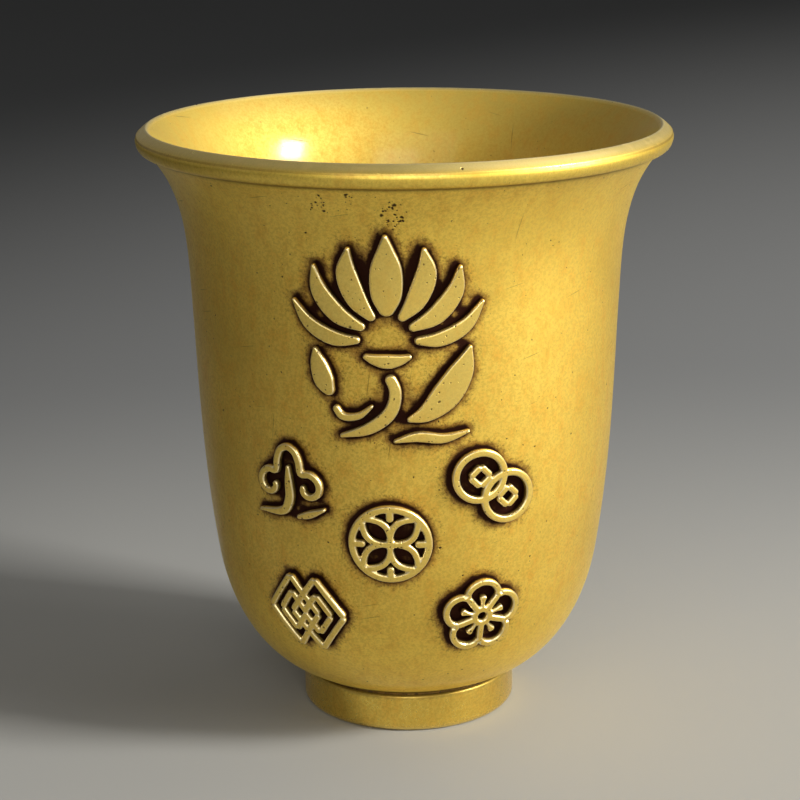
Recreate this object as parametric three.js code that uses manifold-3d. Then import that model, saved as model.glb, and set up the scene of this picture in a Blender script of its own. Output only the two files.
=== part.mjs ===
// A small flared brass drinking cup: a cast shell with a thick bevelled lip, a foot ring brazed on a
// register under it, and raised ornaments brazed on its front: one large lotus and five small signs.
// Millimetres, +Z up. The origin is on the cup's axis, in the plane that it stands on; the front faces -Y.

import * as THREE from 'three';
import { mergeVertices } from 'three/addons/utils/BufferGeometryUtils.js';
import Module from 'manifold-3d';

const wasm = await Module();
wasm.setup();

// Shell
const cupHeight = 80;
const mouthRadius = 35;
const wallThickness = 2.15;
const floorThickness = 2.8;

// The shell's outer line. A lean is the line's angle from upright, in degrees, going up.
const baseOverhang = 0.1;
const baseLean = 70.6;
const baseChamfer = 0.3;
const bowlDepth = 16.2;
const bowlRadius = 25.7;
const bowlLean = 9.3;
const waistRadius = 28.35;
const waistLean = 2.7;
const flareDepth = 20;
const flareLean = 43;
const curveReach = 0.345;

// Lip: a band round the outside of the mouth, rounded below, upright in the middle and bevelled above
const lipStep = 0.45;
const lipRoundWidth = 1;
const lipRoundHeight = 1.45;
const lipEdgeHeight = 0.55;
const lipEdgeSetback = 0.15;
const lipBevelWidth = 1.25;
const lipBevelHeight = 1;

// Foot ring
const footRadius = 14.5;
const footWall = 2.4;
const footHeight = 5.2;
const footEdgeRound = 0.5;
const footShoulderRound = 0.35;
const registerDepth = 1;

// Brazed joints: the filler's room between two pieces
const brazeGap = 0.3;

// Raised ornaments
const reliefThickness = 0.75;
const reliefTaperWidth = 0.22;
const fieldAzimuth = -4.5;
const lotusBelowCrest = 22.1;
const upperRowDrop = 19.6;
const middleRowDrop = 26.6;
const lowerRowDrop = 37.3;
const upperRowOffset = 13;
const lowerRowOffset = 11.3;

// The ornaments are drawn on a grid: one for the lotus, and one for the small signs
const lotusGridPitch = 1;
const signGridPitch = 1;
const fineLineWidth = 0.85;
const boldLineWidth = 0.95;

// Facets
const roundSteps = 60;
const wallSteps = 7;
const edgeSteps = 3;
const broadStep = 1.1;
const fineStep = 0.62;
const loopStep = 1;
const straightStep = 2;
const endAngles = [25, 60];
const circleKnots = 24;
const petalKnots = 16;
const spiralKnots = 12;
const blossomKnots = 60;

const radians = THREE.MathUtils.degToRad;
const sum = (list) => list.reduce((total, value) => total + value, 0);

const brass = new THREE.MeshStandardMaterial({ color: 0xc39a3b, roughness: 0.34, metalness: 1 });
const footBrass = new THREE.MeshStandardMaterial({ color: 0xb98f34, roughness: 0.36, metalness: 1 });
const reliefBrass = new THREE.MeshStandardMaterial({ color: 0xd0ab50, roughness: 0.3, metalness: 1 });

// Places that follow from the sizes above
const seatHeight = footHeight + brazeGap;
const registerHeight = seatHeight - registerDepth;
const baseHeight = seatHeight + baseChamfer;
const baseRadius = footRadius + baseOverhang;
const bevelHeight = cupHeight - lipBevelHeight;
const lipRoundTop = bevelHeight - lipEdgeHeight;
const flareHeight = lipRoundTop - lipRoundHeight;
const flareRadius = mouthRadius - lipRoundWidth - lipStep;

// The wall's line from the foot to the lip goes through these
const stations = [
  { radius: baseRadius, height: baseHeight, lean: baseLean },
  { radius: bowlRadius, height: baseHeight + bowlDepth, lean: bowlLean },
  { radius: waistRadius, height: flareHeight - flareDepth, lean: waistLean },
  { radius: flareRadius, height: flareHeight, lean: flareLean },
];

// The smooth line from one station to the next
function stretch(from, to) {
  const reach = curveReach * Math.hypot(to.radius - from.radius, to.height - from.height);
  const start = new THREE.Vector2(from.radius, from.height);
  const end = new THREE.Vector2(to.radius, to.height);
  const along = ({ lean }) => new THREE.Vector2(Math.sin(radians(lean)), Math.cos(radians(lean)));
  const afterStart = start.clone().addScaledVector(along(from), reach);
  const beforeEnd = end.clone().addScaledVector(along(to), -reach);
  return new THREE.CubicBezierCurve(start, afterStart, beforeEnd, end);
}

const stretches = stations.slice(1).map((station, index) => stretch(stations[index], station));

// A point on a stretch, with the wall's outward direction there
function wallPoint(curve, share) {
  const tangent = curve.getTangent(share);
  return { point: curve.getPoint(share), outward: new THREE.Vector2(tangent.y, -tangent.x) };
}

// The wall's outer line as points
function wallLine() {
  const shares = Array.from({ length: wallSteps }, (_, index) => (index + 1) / wallSteps);
  const risers = stretches.flatMap((curve) => shares.map((share) => wallPoint(curve, share)));
  return [wallPoint(stretches[0], 0), ...risers];
}

// The wall's outer line at a height
function wallAt(height) {
  const curve = stretches.find((each) => height <= each.v3.y) ?? stretches.at(-1);
  let low = 0;
  let high = 1;
  for (let halving = 0; halving < 30; halving += 1) {
    const middle = (low + high) / 2;
    if (curve.getPoint(middle).y < height) low = middle;
    else high = middle;
  }
  return wallPoint(curve, low);
}

// Points on a quarter of an ellipse about a centre, from one angle to another in degrees
function quarter(x, y, xRadius, yRadius, from, to) {
  return Array.from({ length: edgeSteps + 1 }, (_, step) => {
    const angle = radians(from + ((to - from) * step) / edgeSteps);
    return new THREE.Vector2(x + xRadius * Math.cos(angle), y + yRadius * Math.sin(angle));
  });
}

// A ring or a solid of revolution about Z
function turned(profile) {
  return new THREE.LatheGeometry(profile, roundSteps).rotateX(Math.PI / 2);
}

function cupBody() {
  const outside = wallLine();
  const inside = outside.map(({ point, outward }) => point.clone().addScaledVector(outward, -wallThickness));
  const registerRadius = footRadius - footWall - brazeGap;
  const edgeRadius = mouthRadius - lipEdgeSetback;
  return turned([
    new THREE.Vector2(0, registerHeight),
    new THREE.Vector2(registerRadius, registerHeight),
    new THREE.Vector2(registerRadius, seatHeight),
    new THREE.Vector2(baseRadius - baseChamfer, seatHeight),
    ...outside.map(({ point }) => point),
    ...quarter(mouthRadius - lipRoundWidth, lipRoundTop, lipRoundWidth, lipRoundHeight, -90, 0),
    new THREE.Vector2(edgeRadius, bevelHeight),
    new THREE.Vector2(edgeRadius - lipBevelWidth, cupHeight),
    ...inside.reverse(),
    new THREE.Vector2(0, registerHeight + floorThickness),
  ]);
}

function footRing() {
  const bore = footRadius - footWall;
  const shoulder = footRadius - footShoulderRound;
  const sole = footRadius - footEdgeRound;
  return turned([
    new THREE.Vector2(bore, 0),
    ...quarter(sole, footEdgeRound, footEdgeRound, footEdgeRound, -90, 0),
    ...quarter(shoulder, footHeight - footShoulderRound, footShoulderRound, footShoulderRound, 0, 90),
    new THREE.Vector2(bore, footHeight),
    new THREE.Vector2(bore, 0),
  ]);
}

// A spiral as stroke points [x, y, width], from its radius and width at one angle to those at another
function spiral(x, y, radii, angles, widths) {
  return Array.from({ length: spiralKnots }, (_, index) => {
    const [radius, angle, width] = [radii, angles, widths].map(([start, end]) => (
      THREE.MathUtils.lerp(start, end, index / (spiralKnots - 1))
    ));
    return [x + radius * Math.cos(radians(angle)), y + radius * Math.sin(radians(angle)), width];
  });
}

// A closed round of stroke points from a function of the share of the way round
function round(count, width, place) {
  return Array.from({ length: count }, (_, index) => [...place(index / count), width]);
}

// Stroke points [x, y, width] with x and y in squares of the grid turned into sizes
function placed(points, square) {
  return points.map(([x, y, width]) => [x * square, y * square, width]);
}

// Stroke points with the width in squares too
function magnified(points, square) {
  return points.map((values) => values.map((value) => value * square));
}

// Stroke points turned about the ornament's centre
function turnedBy(degrees, points) {
  const [cos, sin] = [Math.cos(radians(degrees)), Math.sin(radians(degrees))];
  return points.map(([x, y, width]) => [x * cos - y * sin, x * sin + y * cos, width]);
}

// Cross-sections along a stroke's middle line. An open stroke's ends are round.
function strokeSections(points, closed, step) {
  const knots = points.map(([x, y, width]) => new THREE.Vector3(x, y, width));
  const line = new THREE.CatmullRomCurve3(knots, closed, 'centripetal');
  line.arcLengthDivisions = 40 * knots.length;
  const length = line.getLength();
  const endRadii = closed ? [0, 0] : [points[0][2] / 2, points.at(-1)[2] / 2];
  const inner = length - sum(endRadii);
  const count = Math.ceil(inner / step);
  const places = Array.from({ length: closed ? count : count - 1 }, (_, index) => {
    const share = closed ? index / count : (index + 1) / count;
    return { distance: endRadii[0] + inner * share, narrowing: 1 };
  });
  if (!closed) {
    const end = (radius) => endAngles.map((angle) => ({
      distance: radius * (1 - Math.cos(radians(angle))),
      narrowing: Math.sin(radians(angle)),
    }));
    places.unshift(...end(endRadii[0]));
    places.push(...end(endRadii[1]).reverse().map((each) => ({ ...each, distance: length - each.distance })));
  }
  return places.map(({ distance, narrowing }) => {
    const middle = line.getPointAt(distance / length);
    const along = line.getTangentAt(distance / length).setZ(0).normalize();
    return { middle, across: new THREE.Vector2(-along.y, along.x), half: (middle.z / 2) * narrowing };
  });
}

// A stroke as a closed mesh on the wall: its back keeps the braze gap, and its sides have a draft
function strokeMesh(points, place, { closed = false, step = fineStep } = {}) {
  const sections = strokeSections(points, closed, step);
  const positions = sections.flatMap(({ middle, across, half }) => {
    const top = half - Math.min(reliefTaperWidth, half / 2);
    const corners = [[-half, 0], [half, 0], [top, reliefThickness], [-top, reliefThickness]];
    return corners.flatMap(([side, rise]) => place(
      middle.x + across.x * side,
      middle.y + across.y * side,
      brazeGap + rise,
    ));
  });
  const indices = [];
  const quad = (a, b, c, d) => indices.push(a, b, c, a, c, d);
  sections.forEach((_, index) => {
    const next = (index + 1) % sections.length;
    if (next === 0 && !closed) return;
    for (let corner = 0; corner < 4; corner += 1) {
      const beside = (corner + 1) % 4;
      quad(4 * index + corner, 4 * index + beside, 4 * next + beside, 4 * next + corner);
    }
  });
  if (!closed) {
    const last = 4 * (sections.length - 1);
    quad(3, 2, 1, 0);
    quad(last, last + 1, last + 2, last + 3);
  }
  const geometry = new THREE.BufferGeometry();
  geometry.setAttribute('position', new THREE.Float32BufferAttribute(positions, 3));
  geometry.setIndex(indices);
  return geometry;
}

// Maps a point of an ornament's flat drawing onto the wall: x to the right, y up, rise off the surface
function placeOnWall(across, centreHeight) {
  const middleRadius = wallAt(centreHeight).point.x;
  return (x, y, rise) => {
    const { point, outward } = wallAt(centreHeight + y);
    const { x: radius, y: height } = point.clone().addScaledVector(outward, rise);
    const azimuth = radians(fieldAzimuth) + (across + x) / middleRadius;
    return [radius * Math.sin(azimuth), -radius * Math.cos(azimuth), height];
  };
}

function toSolid(geometry) {
  const merged = mergeVertices(geometry, 1e-4);
  return new wasm.Manifold(new wasm.Mesh({
    numProp: 3,
    vertProperties: new Float32Array(merged.attributes.position.array),
    triVerts: new Uint32Array(merged.index.array),
  }));
}

// Several crossing strokes joined into one body
function joined(geometries) {
  const { numProp, vertProperties, triVerts } = geometries
    .map(toSolid)
    .reduce((whole, next) => whole.add(next))
    .getMesh();
  const geometry = new THREE.BufferGeometry();
  geometry.setAttribute('position', new THREE.InterleavedBufferAttribute(
    new THREE.InterleavedBuffer(vertProperties, numProp), 3, 0,
  ));
  geometry.setIndex(Array.from(triVerts));
  return geometry;
}

// The large ornament: a lotus in bloom with its stem, a bud, a leaf and the water under it. Each stroke is a
// list of [x, y, width] points from the ornament's middle, in squares of the grid.
const lotusStrokes = {
  lotus_middle_petal: [[0, 2.9, 1.2], [0, 5.4, 3.6], [0, 8.8, 3.7], [0, 11.4, 1.9], [0, 13.3, 0.4]],
  lotus_calyx: [[-2.9, -2.1, 0.5], [-1.4, -2.6, 1.4], [0, -2.8, 1.8], [1.4, -2.6, 1.4], [2.9, -2.1, 0.5]],
  lotus_stem: [[0.1, -4.5, 1.3], [0.9, -6.6, 1.5], [0.3, -9.2, 1.7], [-2.2, -11.3, 1.5], [-6, -12.5, 0.5]],
  lotus_leaf: [[2.3, -10.3, 0.5], [4.6, -9.4, 2.2], [7, -7.2, 3.6], [8.9, -4.2, 3], [10, -1, 0.4]],
  lotus_bud: [[-6.9, -7.3, 0.9], [-7.8, -5.6, 2.5], [-8.5, -3.4, 2.1], [-8.9, -1.3, 0.4]],
  bud_stem: [[-6.6, -8.6, 0.9], [-5.6, -9.9, 1], [-3.6, -9.8, 0.9], [-1.8, -8.4, 0.4]],
  water_ripple: [[0.6, -13, 0.4], [3.6, -12.4, 1.3], [6.8, -12.7, 1.2], [10, -11.9, 0.4]],
};

// The petals to the right of the middle one; the left ones mirror them
const sidePetals = {
  inner: [[1.5, 2.4, 0.9], [3.5, 5, 2.5], [4.6, 8.2, 2.5], [4.3, 11.6, 0.4]],
  outer: [[2.6, 1.3, 0.9], [5.8, 3, 2.3], [8, 5.9, 2.1], [8.6, 9.2, 0.4]],
  low: [[3.2, -0.2, 0.8], [6.4, 0, 1.9], [9.4, 1.6, 1.7], [11.5, 4.6, 0.4]],
};

function mirrored(points) {
  return points.map(([x, y, width]) => [-x, y, width]);
}

function lotusPieces() {
  const place = placeOnWall(0, cupHeight - lotusBelowCrest);
  const sides = Object.entries(sidePetals).flatMap(([name, points]) => [
    [`lotus_right_${name}_petal`, points],
    [`lotus_left_${name}_petal`, mirrored(points)],
  ]);
  return [...Object.entries(lotusStrokes), ...sides].map(([name, points]) => [
    name,
    strokeMesh(magnified(points, lotusGridPitch), place, { step: broadStep }),
  ]);
}

// Where a small sign goes, from its offset to the right and its drop below the lotus's middle. The signs'
// strokes have x and y in squares of the grid and their width as a size.
function signPlace(offset, drop) {
  return placeOnWall(offset, cupHeight - lotusBelowCrest - drop);
}

// Ruyi cloud: a crown between two curls, over a tail and a wisp
function ruyiPieces() {
  const place = signPlace(-upperRowOffset, upperRowDrop);
  const side = [
    ...spiral(-2.7, -0.4, [0.5, 2.05], [395, 65], [fineLineWidth, boldLineWidth]),
    [-1.55, 3, boldLineWidth], [-1, 4.3, boldLineWidth],
  ];
  const strokes = {
    ruyi_crown: [...side, [0, 4.8, boldLineWidth], ...mirrored(side).reverse()],
    ruyi_tail: [[0, 2.4, 0.5], [0, 0.2, 1.1], [0, -1.9, 1.3], [-0.9, -3.7, 1.2], [-4.9, -4.3, 0.4]],
    ruyi_wisp: [[0.9, -4.4, 0.5], [2.6, -3.9, 1], [4.9, -2.9, 0.4]],
  };
  return Object.entries(strokes).map(([name, points]) => {
    const geometry = strokeMesh(placed(points, signGridPitch), place);
    return [name, geometry];
  });
}

// A closed circle of stroke points
function circle(x, y, radius, width) {
  return round(circleKnots, width, (share) => {
    const angle = 2 * Math.PI * share;
    return [x + radius * Math.cos(angle), y + radius * Math.sin(angle)];
  });
}

// The four straight strokes of a diamond about a centre
function diamond(x, y, halfWidth, halfHeight, width) {
  const corners = [[x + halfWidth, y], [x, y + halfHeight], [x - halfWidth, y], [x, y - halfHeight]];
  return corners.map((corner, index) => [corner, corners[(index + 1) % 4]].map((end) => [...end, width]));
}

// One body from closed loops and open strokes that cross
function crossing(place, loops, strokes) {
  const sign = (options) => (points) => strokeMesh(placed(points, signGridPitch), place, options);
  return joined([
    ...loops.map(sign({ closed: true, step: loopStep })),
    ...strokes.map(sign({ step: straightStep })),
  ]);
}

// Linked coins: two rings that overlap, each round a square hole
function coinsPiece() {
  const [shift, rise] = [1.85, 1.5];
  const [coinRadius, holeReach] = [3.1, 1.35];
  const centres = [[-shift, rise], [shift, -rise]];
  return crossing(
    signPlace(upperRowOffset, upperRowDrop),
    centres.map(([x, y]) => circle(x, y, coinRadius, boldLineWidth)),
    centres.flatMap(([x, y]) => diamond(x, y, holeReach, holeReach, fineLineWidth)),
  );
}

// The loop of one petal, upright, with its root at the origin
function petal(length, width, line) {
  return round(petalKnots, line, (share) => {
    const upward = 1 - Math.abs(2 * share - 1);
    const half = (width / 2) * Math.sin(Math.PI * upward) ** 0.85;
    return [share < 0.5 ? half : -half, length * upward];
  });
}

// Medallion: a ring round four petals, with a short stud between each two
function medallionPiece() {
  const [ringRadius, petalWidth, studStart] = [4.7, 2.7, 3];
  const quarters = [0, 90, 180, 270];
  const ring = circle(0, 0, ringRadius, boldLineWidth);
  const petals = quarters.map((angle) => turnedBy(angle + 45, petal(ringRadius, petalWidth, fineLineWidth)));
  const stud = [[0, studStart, boldLineWidth], [0, ringRadius, boldLineWidth]];
  const studs = quarters.map((angle) => turnedBy(angle, stud));
  return crossing(signPlace(0, middleRowDrop), [ring, ...petals], studs);
}

// Linked lozenges: two double diamonds that overlap at the middle
function lozengePiece() {
  const shift = 1.7;
  const [outer, inner] = [[3.6, 5], [1.9, 2.7]];
  const strokes = [-shift, shift].flatMap((x) => [
    ...diamond(x, 0, ...outer, fineLineWidth),
    ...diamond(x, 0, ...inner, fineLineWidth),
  ]);
  return crossing(signPlace(-lowerRowOffset, lowerRowDrop), [], strokes);
}

// Plum blossom: a five-lobed outline, a small ring at its heart and five stamens, with a rib between petals
function plumPiece() {
  const petalCount = 5;
  const [heartRadius, notchRadius, petalDepth] = [1, 3.4, 1.35];
  const outline = round(blossomKnots, fineLineWidth, (share) => {
    const angle = 2 * Math.PI * share;
    const radius = notchRadius + petalDepth * Math.abs(Math.cos((petalCount * angle) / 2)) ** 0.75;
    return [-radius * Math.sin(angle), radius * Math.cos(angle)];
  });
  const heart = circle(0, 0, heartRadius, fineLineWidth);
  const rib = [[0, heartRadius, fineLineWidth], [0, notchRadius, fineLineWidth]];
  const stamen = [[0, heartRadius, 0.45], [0, 1.9, 0.5], [0, 2.9, 1.2]];
  const spokes = Array.from({ length: petalCount }, (_, index) => [
    turnedBy((360 * (index + 0.5)) / petalCount, rib),
    turnedBy((360 * index) / petalCount, stamen),
  ]).flat();
  return crossing(signPlace(lowerRowOffset, lowerRowDrop), [outline, heart], spokes);
}

function piece(name, geometry, material) {
  const mesh = new THREE.Mesh(geometry, material);
  mesh.name = name;
  return mesh;
}

const ornaments = [
  ...lotusPieces(),
  ...ruyiPieces(),
  ['linked_coins', coinsPiece()],
  ['medallion', medallionPiece()],
  ['linked_lozenges', lozengePiece()],
  ['plum_blossom', plumPiece()],
];

const cup = new THREE.Group();
cup.add(
  piece('cup_body', cupBody(), brass),
  piece('foot_ring', footRing(), footBrass),
  ...ornaments.map(([name, geometry]) => piece(name, geometry, reliefBrass)),
);

export default cup;
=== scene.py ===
"""Looks of a small flared brass cup with a foot ring and raised ornaments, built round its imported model.

Sizes are in millimetres until a mesh is finished, with the origin on the cup's axis in the plane that it
stands on, +Z up and the decorated front towards -Y. Finished meshes are in metres.
"""

import logging
import math
from collections.abc import Iterable
from dataclasses import dataclass
from enum import Enum
from functools import partial, reduce

import bmesh
import bpy
import numpy as np
from mathutils import Matrix, Vector


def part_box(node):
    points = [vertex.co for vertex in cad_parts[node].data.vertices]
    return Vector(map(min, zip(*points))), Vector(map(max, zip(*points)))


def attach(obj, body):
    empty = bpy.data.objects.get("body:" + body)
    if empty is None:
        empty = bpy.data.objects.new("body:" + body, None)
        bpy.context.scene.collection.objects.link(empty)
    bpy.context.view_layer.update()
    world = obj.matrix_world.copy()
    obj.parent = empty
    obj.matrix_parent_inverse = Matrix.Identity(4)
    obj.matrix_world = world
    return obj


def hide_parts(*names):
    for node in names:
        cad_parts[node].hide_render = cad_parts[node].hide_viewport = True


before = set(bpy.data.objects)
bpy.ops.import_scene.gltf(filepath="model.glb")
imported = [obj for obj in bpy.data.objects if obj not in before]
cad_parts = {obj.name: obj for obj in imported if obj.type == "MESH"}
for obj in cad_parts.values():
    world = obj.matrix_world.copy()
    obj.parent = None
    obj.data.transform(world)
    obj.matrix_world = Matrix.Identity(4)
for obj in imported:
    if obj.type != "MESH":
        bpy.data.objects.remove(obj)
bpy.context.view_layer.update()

MM = 0.001
BODY = "root"
WELD = 1e-3  # millimetres within which a turned piece's vertices merge
SLIVER = 1e-4  # millimetres below which a length counts as nothing
TINY = 1e-12  # least squared length that is divided by
SMOOTH_ANGLE = 32.0  # degrees up to which an edge is shaded smooth
UNROLLED_RADIUS = 28.0  # millimetres from the axis at which unrolled lengths stay true
# The patina that this film share covers also holds painted shade and painted shadow.
FILM_ON_PATINA = 0.05  # share of a finish's clear film that is left on patina

log = logging.getLogger("cup")

Array = np.ndarray
Piece = bpy.types.Object
Material = bpy.types.Material
NodeTree = bpy.types.NodeTree
Socket = bpy.types.NodeSocket
Point = tuple[float, float]
Knot = tuple[float, float, float]
Colour = tuple[float, float, float, float]
Feeds = dict[str | int, object]


class Slot(Enum):
    """The record's material slots."""

    CAST = "cast_brass"
    FOOT = "foot_brass"
    RELIEF = "relief_brass"


def node_box(node: str) -> tuple[Vector, Vector]:
    """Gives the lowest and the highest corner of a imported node, in millimetres."""
    low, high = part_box(node)
    return Vector(low) / MM, Vector(high) / MM


def smooth_step(low: float, high: float, value: Array) -> Array:
    """Gives the share of a smooth rise from 0 at low to 1 at high, which may be below low, at each value."""
    share = np.clip((value - low) / (high - low), 0.0, 1.0)
    return share * share * (3.0 - 2.0 * share)


def arc(centre: Point, radii: Point, start: float, end: float, steps: int) -> list[Point]:
    """Gives points on an elliptical arc, from its first angle to its last one in degrees."""
    angles = np.radians(np.linspace(start, end, steps + 1))
    return [(centre[0] + radii[0] * math.cos(a), centre[1] + radii[1] * math.sin(a)) for a in angles]


def corner(before: Point, at: Point, after: Point, radius: float, steps: int = 3) -> list[Point]:
    """Rounds a corner of an outline with a short curve.

    Args:
        before: The outline's point before the corner.
        at: The corner.
        after: The point after it.
        radius: How far from the corner the curve starts and ends.
        steps: Number of steps of the curve.

    Returns:
        The curve's points.
    """
    here = Vector(at)
    start = here + (Vector(before) - here).normalized() * radius
    end = here + (Vector(after) - here).normalized() * radius
    shares = np.linspace(0.0, 1.0, steps + 1)
    return [tuple(start * (1 - t) ** 2 + here * 2 * t * (1 - t) + end * t * t) for t in shares]


def round_axis(places: Array) -> tuple[Array, Array]:
    """Gives the azimuth in radians and the distance from the axis of rows of x, y and z."""
    return np.arctan2(places[:, 0], -places[:, 1]), np.hypot(places[:, 0], places[:, 1])


def off_axis(turn: Array, out: Array, height: Array) -> Array:
    """Gives rows of x, y and z for azimuths in radians, distances from the axis and heights."""
    return np.column_stack([out * np.sin(turn), -out * np.cos(turn), height])


def lengths_along(line: Array) -> Array:
    """Gives how far each of a line's points is from its start."""
    return np.concatenate([[0.0], np.cumsum(np.linalg.norm(np.diff(line, axis=0), axis=1))])


def looked_up(spots: Array, places: Array, columns: Iterable[Array]) -> Array:
    """Gives as rows what columns of numbers known at some places are at other spots."""
    return np.column_stack([np.interp(spots, places, values) for values in columns])


# Modelling by hand


def clear_selection() -> None:
    """Leaves edit mode and deselects every object."""
    if bpy.context.object and bpy.context.object.mode != "OBJECT":
        bpy.ops.object.mode_set(mode="OBJECT")
    bpy.ops.object.select_all(action="DESELECT")


def pick(piece: Piece) -> None:
    """Makes a piece the only selected and the active object."""
    clear_selection()
    piece.select_set(True)
    bpy.context.view_layer.objects.active = piece


def open_mesh() -> None:
    """Starts to edit the active mesh, with all of it selected."""
    bpy.ops.object.mode_set(mode="EDIT")
    bpy.ops.mesh.select_all(action="SELECT")


def close_mesh() -> None:
    """Turns the faces of the edited mesh outwards and leaves edit mode."""
    bpy.ops.mesh.select_all(action="SELECT")
    bpy.ops.mesh.normals_make_consistent(inside=False)
    bpy.ops.object.mode_set(mode="OBJECT")


def vertex_array(piece: Piece) -> Array:
    """Gives a piece's vertices as rows of x, y and z."""
    flat = np.empty(3 * len(piece.data.vertices))
    piece.data.vertices.foreach_get("co", flat)
    return flat.reshape(-1, 3)


def set_vertices(piece: Piece, places: Array) -> None:
    """Moves a piece's vertices to new places, given as rows of x, y and z."""
    piece.data.vertices.foreach_set("co", np.ascontiguousarray(places, dtype=float).ravel())
    piece.data.update()


def set_attributes(piece: Piece, **numbers: Array) -> None:
    """Stores numbers for each vertex by name, for the finish to read."""
    for name, values in numbers.items():
        layer = piece.data.attributes.new(name, "FLOAT", "POINT")
        layer.data.foreach_set("value", np.ascontiguousarray(values, dtype=np.float32))


def apply_modifier(piece: Piece, kind: str, **settings: object) -> None:
    """Adds a modifier to a piece, with its settings by name, and applies it."""
    pick(piece)
    modifier = piece.modifiers.new(kind.title(), kind)
    for name, value in settings.items():
        setattr(modifier, name, value)
    bpy.ops.object.modifier_apply(modifier=modifier.name)


def drawn_wire(name: str, points: list[Point], azimuth: float) -> Piece:
    """Draws a half section as a wire, in the upright plane through the axis at an azimuth.

    Args:
        name: The new object's name.
        points: The section's points as radius and height, in order.
        azimuth: The plane's azimuth from -Y towards +X, in degrees.

    Returns:
        The wire, in edit mode with its last point selected.
    """
    clear_selection()
    bpy.ops.mesh.primitive_plane_add(size=1.0)
    wire = bpy.context.object
    wire.name = name
    open_mesh()
    bpy.ops.mesh.merge(type="CENTER")
    turn = math.radians(azimuth)
    outward = Vector((math.sin(turn), -math.cos(turn), 0.0))
    places = [outward * radius + Vector((0.0, 0.0, height)) for radius, height in points]
    bpy.ops.transform.translate(value=places[0])
    for here, there in zip(places, places[1:]):
        bpy.ops.mesh.extrude_region_move(TRANSFORM_OT_translate={"value": there - here})
    return wire


def spun(name: str, points: list[Point], sectors: list[tuple[float, int]], start: float) -> Piece:
    """Turns a half section about the cup's axis into a closed solid of revolution.

    Args:
        name: The new object's name.
        points: The section's points as radius and height; a closed section repeats its first point.
        sectors: The angle in degrees and the number of steps of each sector, 360 degrees in all.
        start: The azimuth of the first sector's edge, in degrees.

    Returns:
        The solid, in object mode.
    """
    solid = drawn_wire(name, points, start)
    bpy.ops.mesh.select_all(action="SELECT")
    for angle, steps in sectors:
        bpy.ops.mesh.spin(steps=steps, angle=math.radians(angle), center=(0, 0, 0), axis=(0, 0, 1))
    bpy.ops.mesh.select_all(action="SELECT")
    bpy.ops.mesh.remove_doubles(threshold=WELD)
    bpy.ops.mesh.dissolve_degenerate(threshold=SLIVER)
    close_mesh()
    return solid


def finish_piece(piece: Piece, material: Material, slot: Slot, *nodes: str) -> None:
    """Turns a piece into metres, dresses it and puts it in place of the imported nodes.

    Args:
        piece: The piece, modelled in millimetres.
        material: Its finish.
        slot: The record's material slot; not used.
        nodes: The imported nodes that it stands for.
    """
    set_vertices(piece, vertex_array(piece) * MM)
    pick(piece)
    bpy.ops.object.shade_smooth_by_angle(angle=math.radians(SMOOTH_ANGLE))
    piece.data.materials.clear()
    piece.data.materials.append(material)
    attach(piece, BODY)
    if nodes:
        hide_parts(*nodes)
    log.info("%s: %d faces, finish %s", piece.name, len(piece.data.polygons), material.name)


# The wall's line


@dataclass(frozen=True)
class Station:
    """A point on the wall's outer line and the line's lean from upright there, in degrees, going up."""

    radius: float
    height: float
    lean: float


@dataclass(frozen=True)
class CupSizes:
    """Sizes of the cup, in millimetres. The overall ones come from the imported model."""

    crest_height: float
    mouth_radius: float
    foot_radius: float
    foot_height: float
    wall: float = 2.15
    floor: float = 2.8
    base_overhang: float = 0.1
    base_lean: float = 70.6
    base_chamfer: float = 0.3
    bowl_depth: float = 16.2
    bowl_radius: float = 25.7
    bowl_lean: float = 9.3
    waist_radius: float = 28.35
    waist_lean: float = 2.7
    flare_depth: float = 20.0
    flare_lean: float = 43.0
    curve_reach: float = 0.345
    lip_step: float = 0.45
    lip_round_width: float = 1.0
    lip_round_height: float = 1.45
    lip_edge_height: float = 0.55
    lip_edge_setback: float = 0.15
    lip_bevel_width: float = 1.25
    lip_bevel_height: float = 1.0
    foot_wall: float = 2.4
    register_depth: float = 1.0
    braze_gap: float = 0.3

    @classmethod
    def from_frame(cls) -> "CupSizes":
        """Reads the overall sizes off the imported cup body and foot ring."""
        _, body_high = node_box("cup_body")
        _, foot_high = node_box("foot_ring")
        return cls(body_high.z, body_high.x, foot_high.x, foot_high.z)

    @property
    def seat_height(self) -> float:
        """Height of the body's underside over the foot ring."""
        return self.foot_height + self.braze_gap

    @property
    def bevel_height(self) -> float:
        """Height of the lip's crisp outer edge."""
        return self.crest_height - self.lip_bevel_height

    @property
    def lip_round_top(self) -> float:
        """Height where the lip's rounded underside ends."""
        return self.bevel_height - self.lip_edge_height

    @property
    def stations(self) -> list[Station]:
        """The points that the wall's outer line goes through, from the foot to the lip."""
        base = self.seat_height + self.base_chamfer
        flare = self.lip_round_top - self.lip_round_height
        flare_radius = self.mouth_radius - self.lip_round_width - self.lip_step
        return [
            Station(self.foot_radius + self.base_overhang, base, self.base_lean),
            Station(self.bowl_radius, base + self.bowl_depth, self.bowl_lean),
            Station(self.waist_radius, flare - self.flare_depth, self.waist_lean),
            Station(flare_radius, flare, self.flare_lean),
        ]


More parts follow.
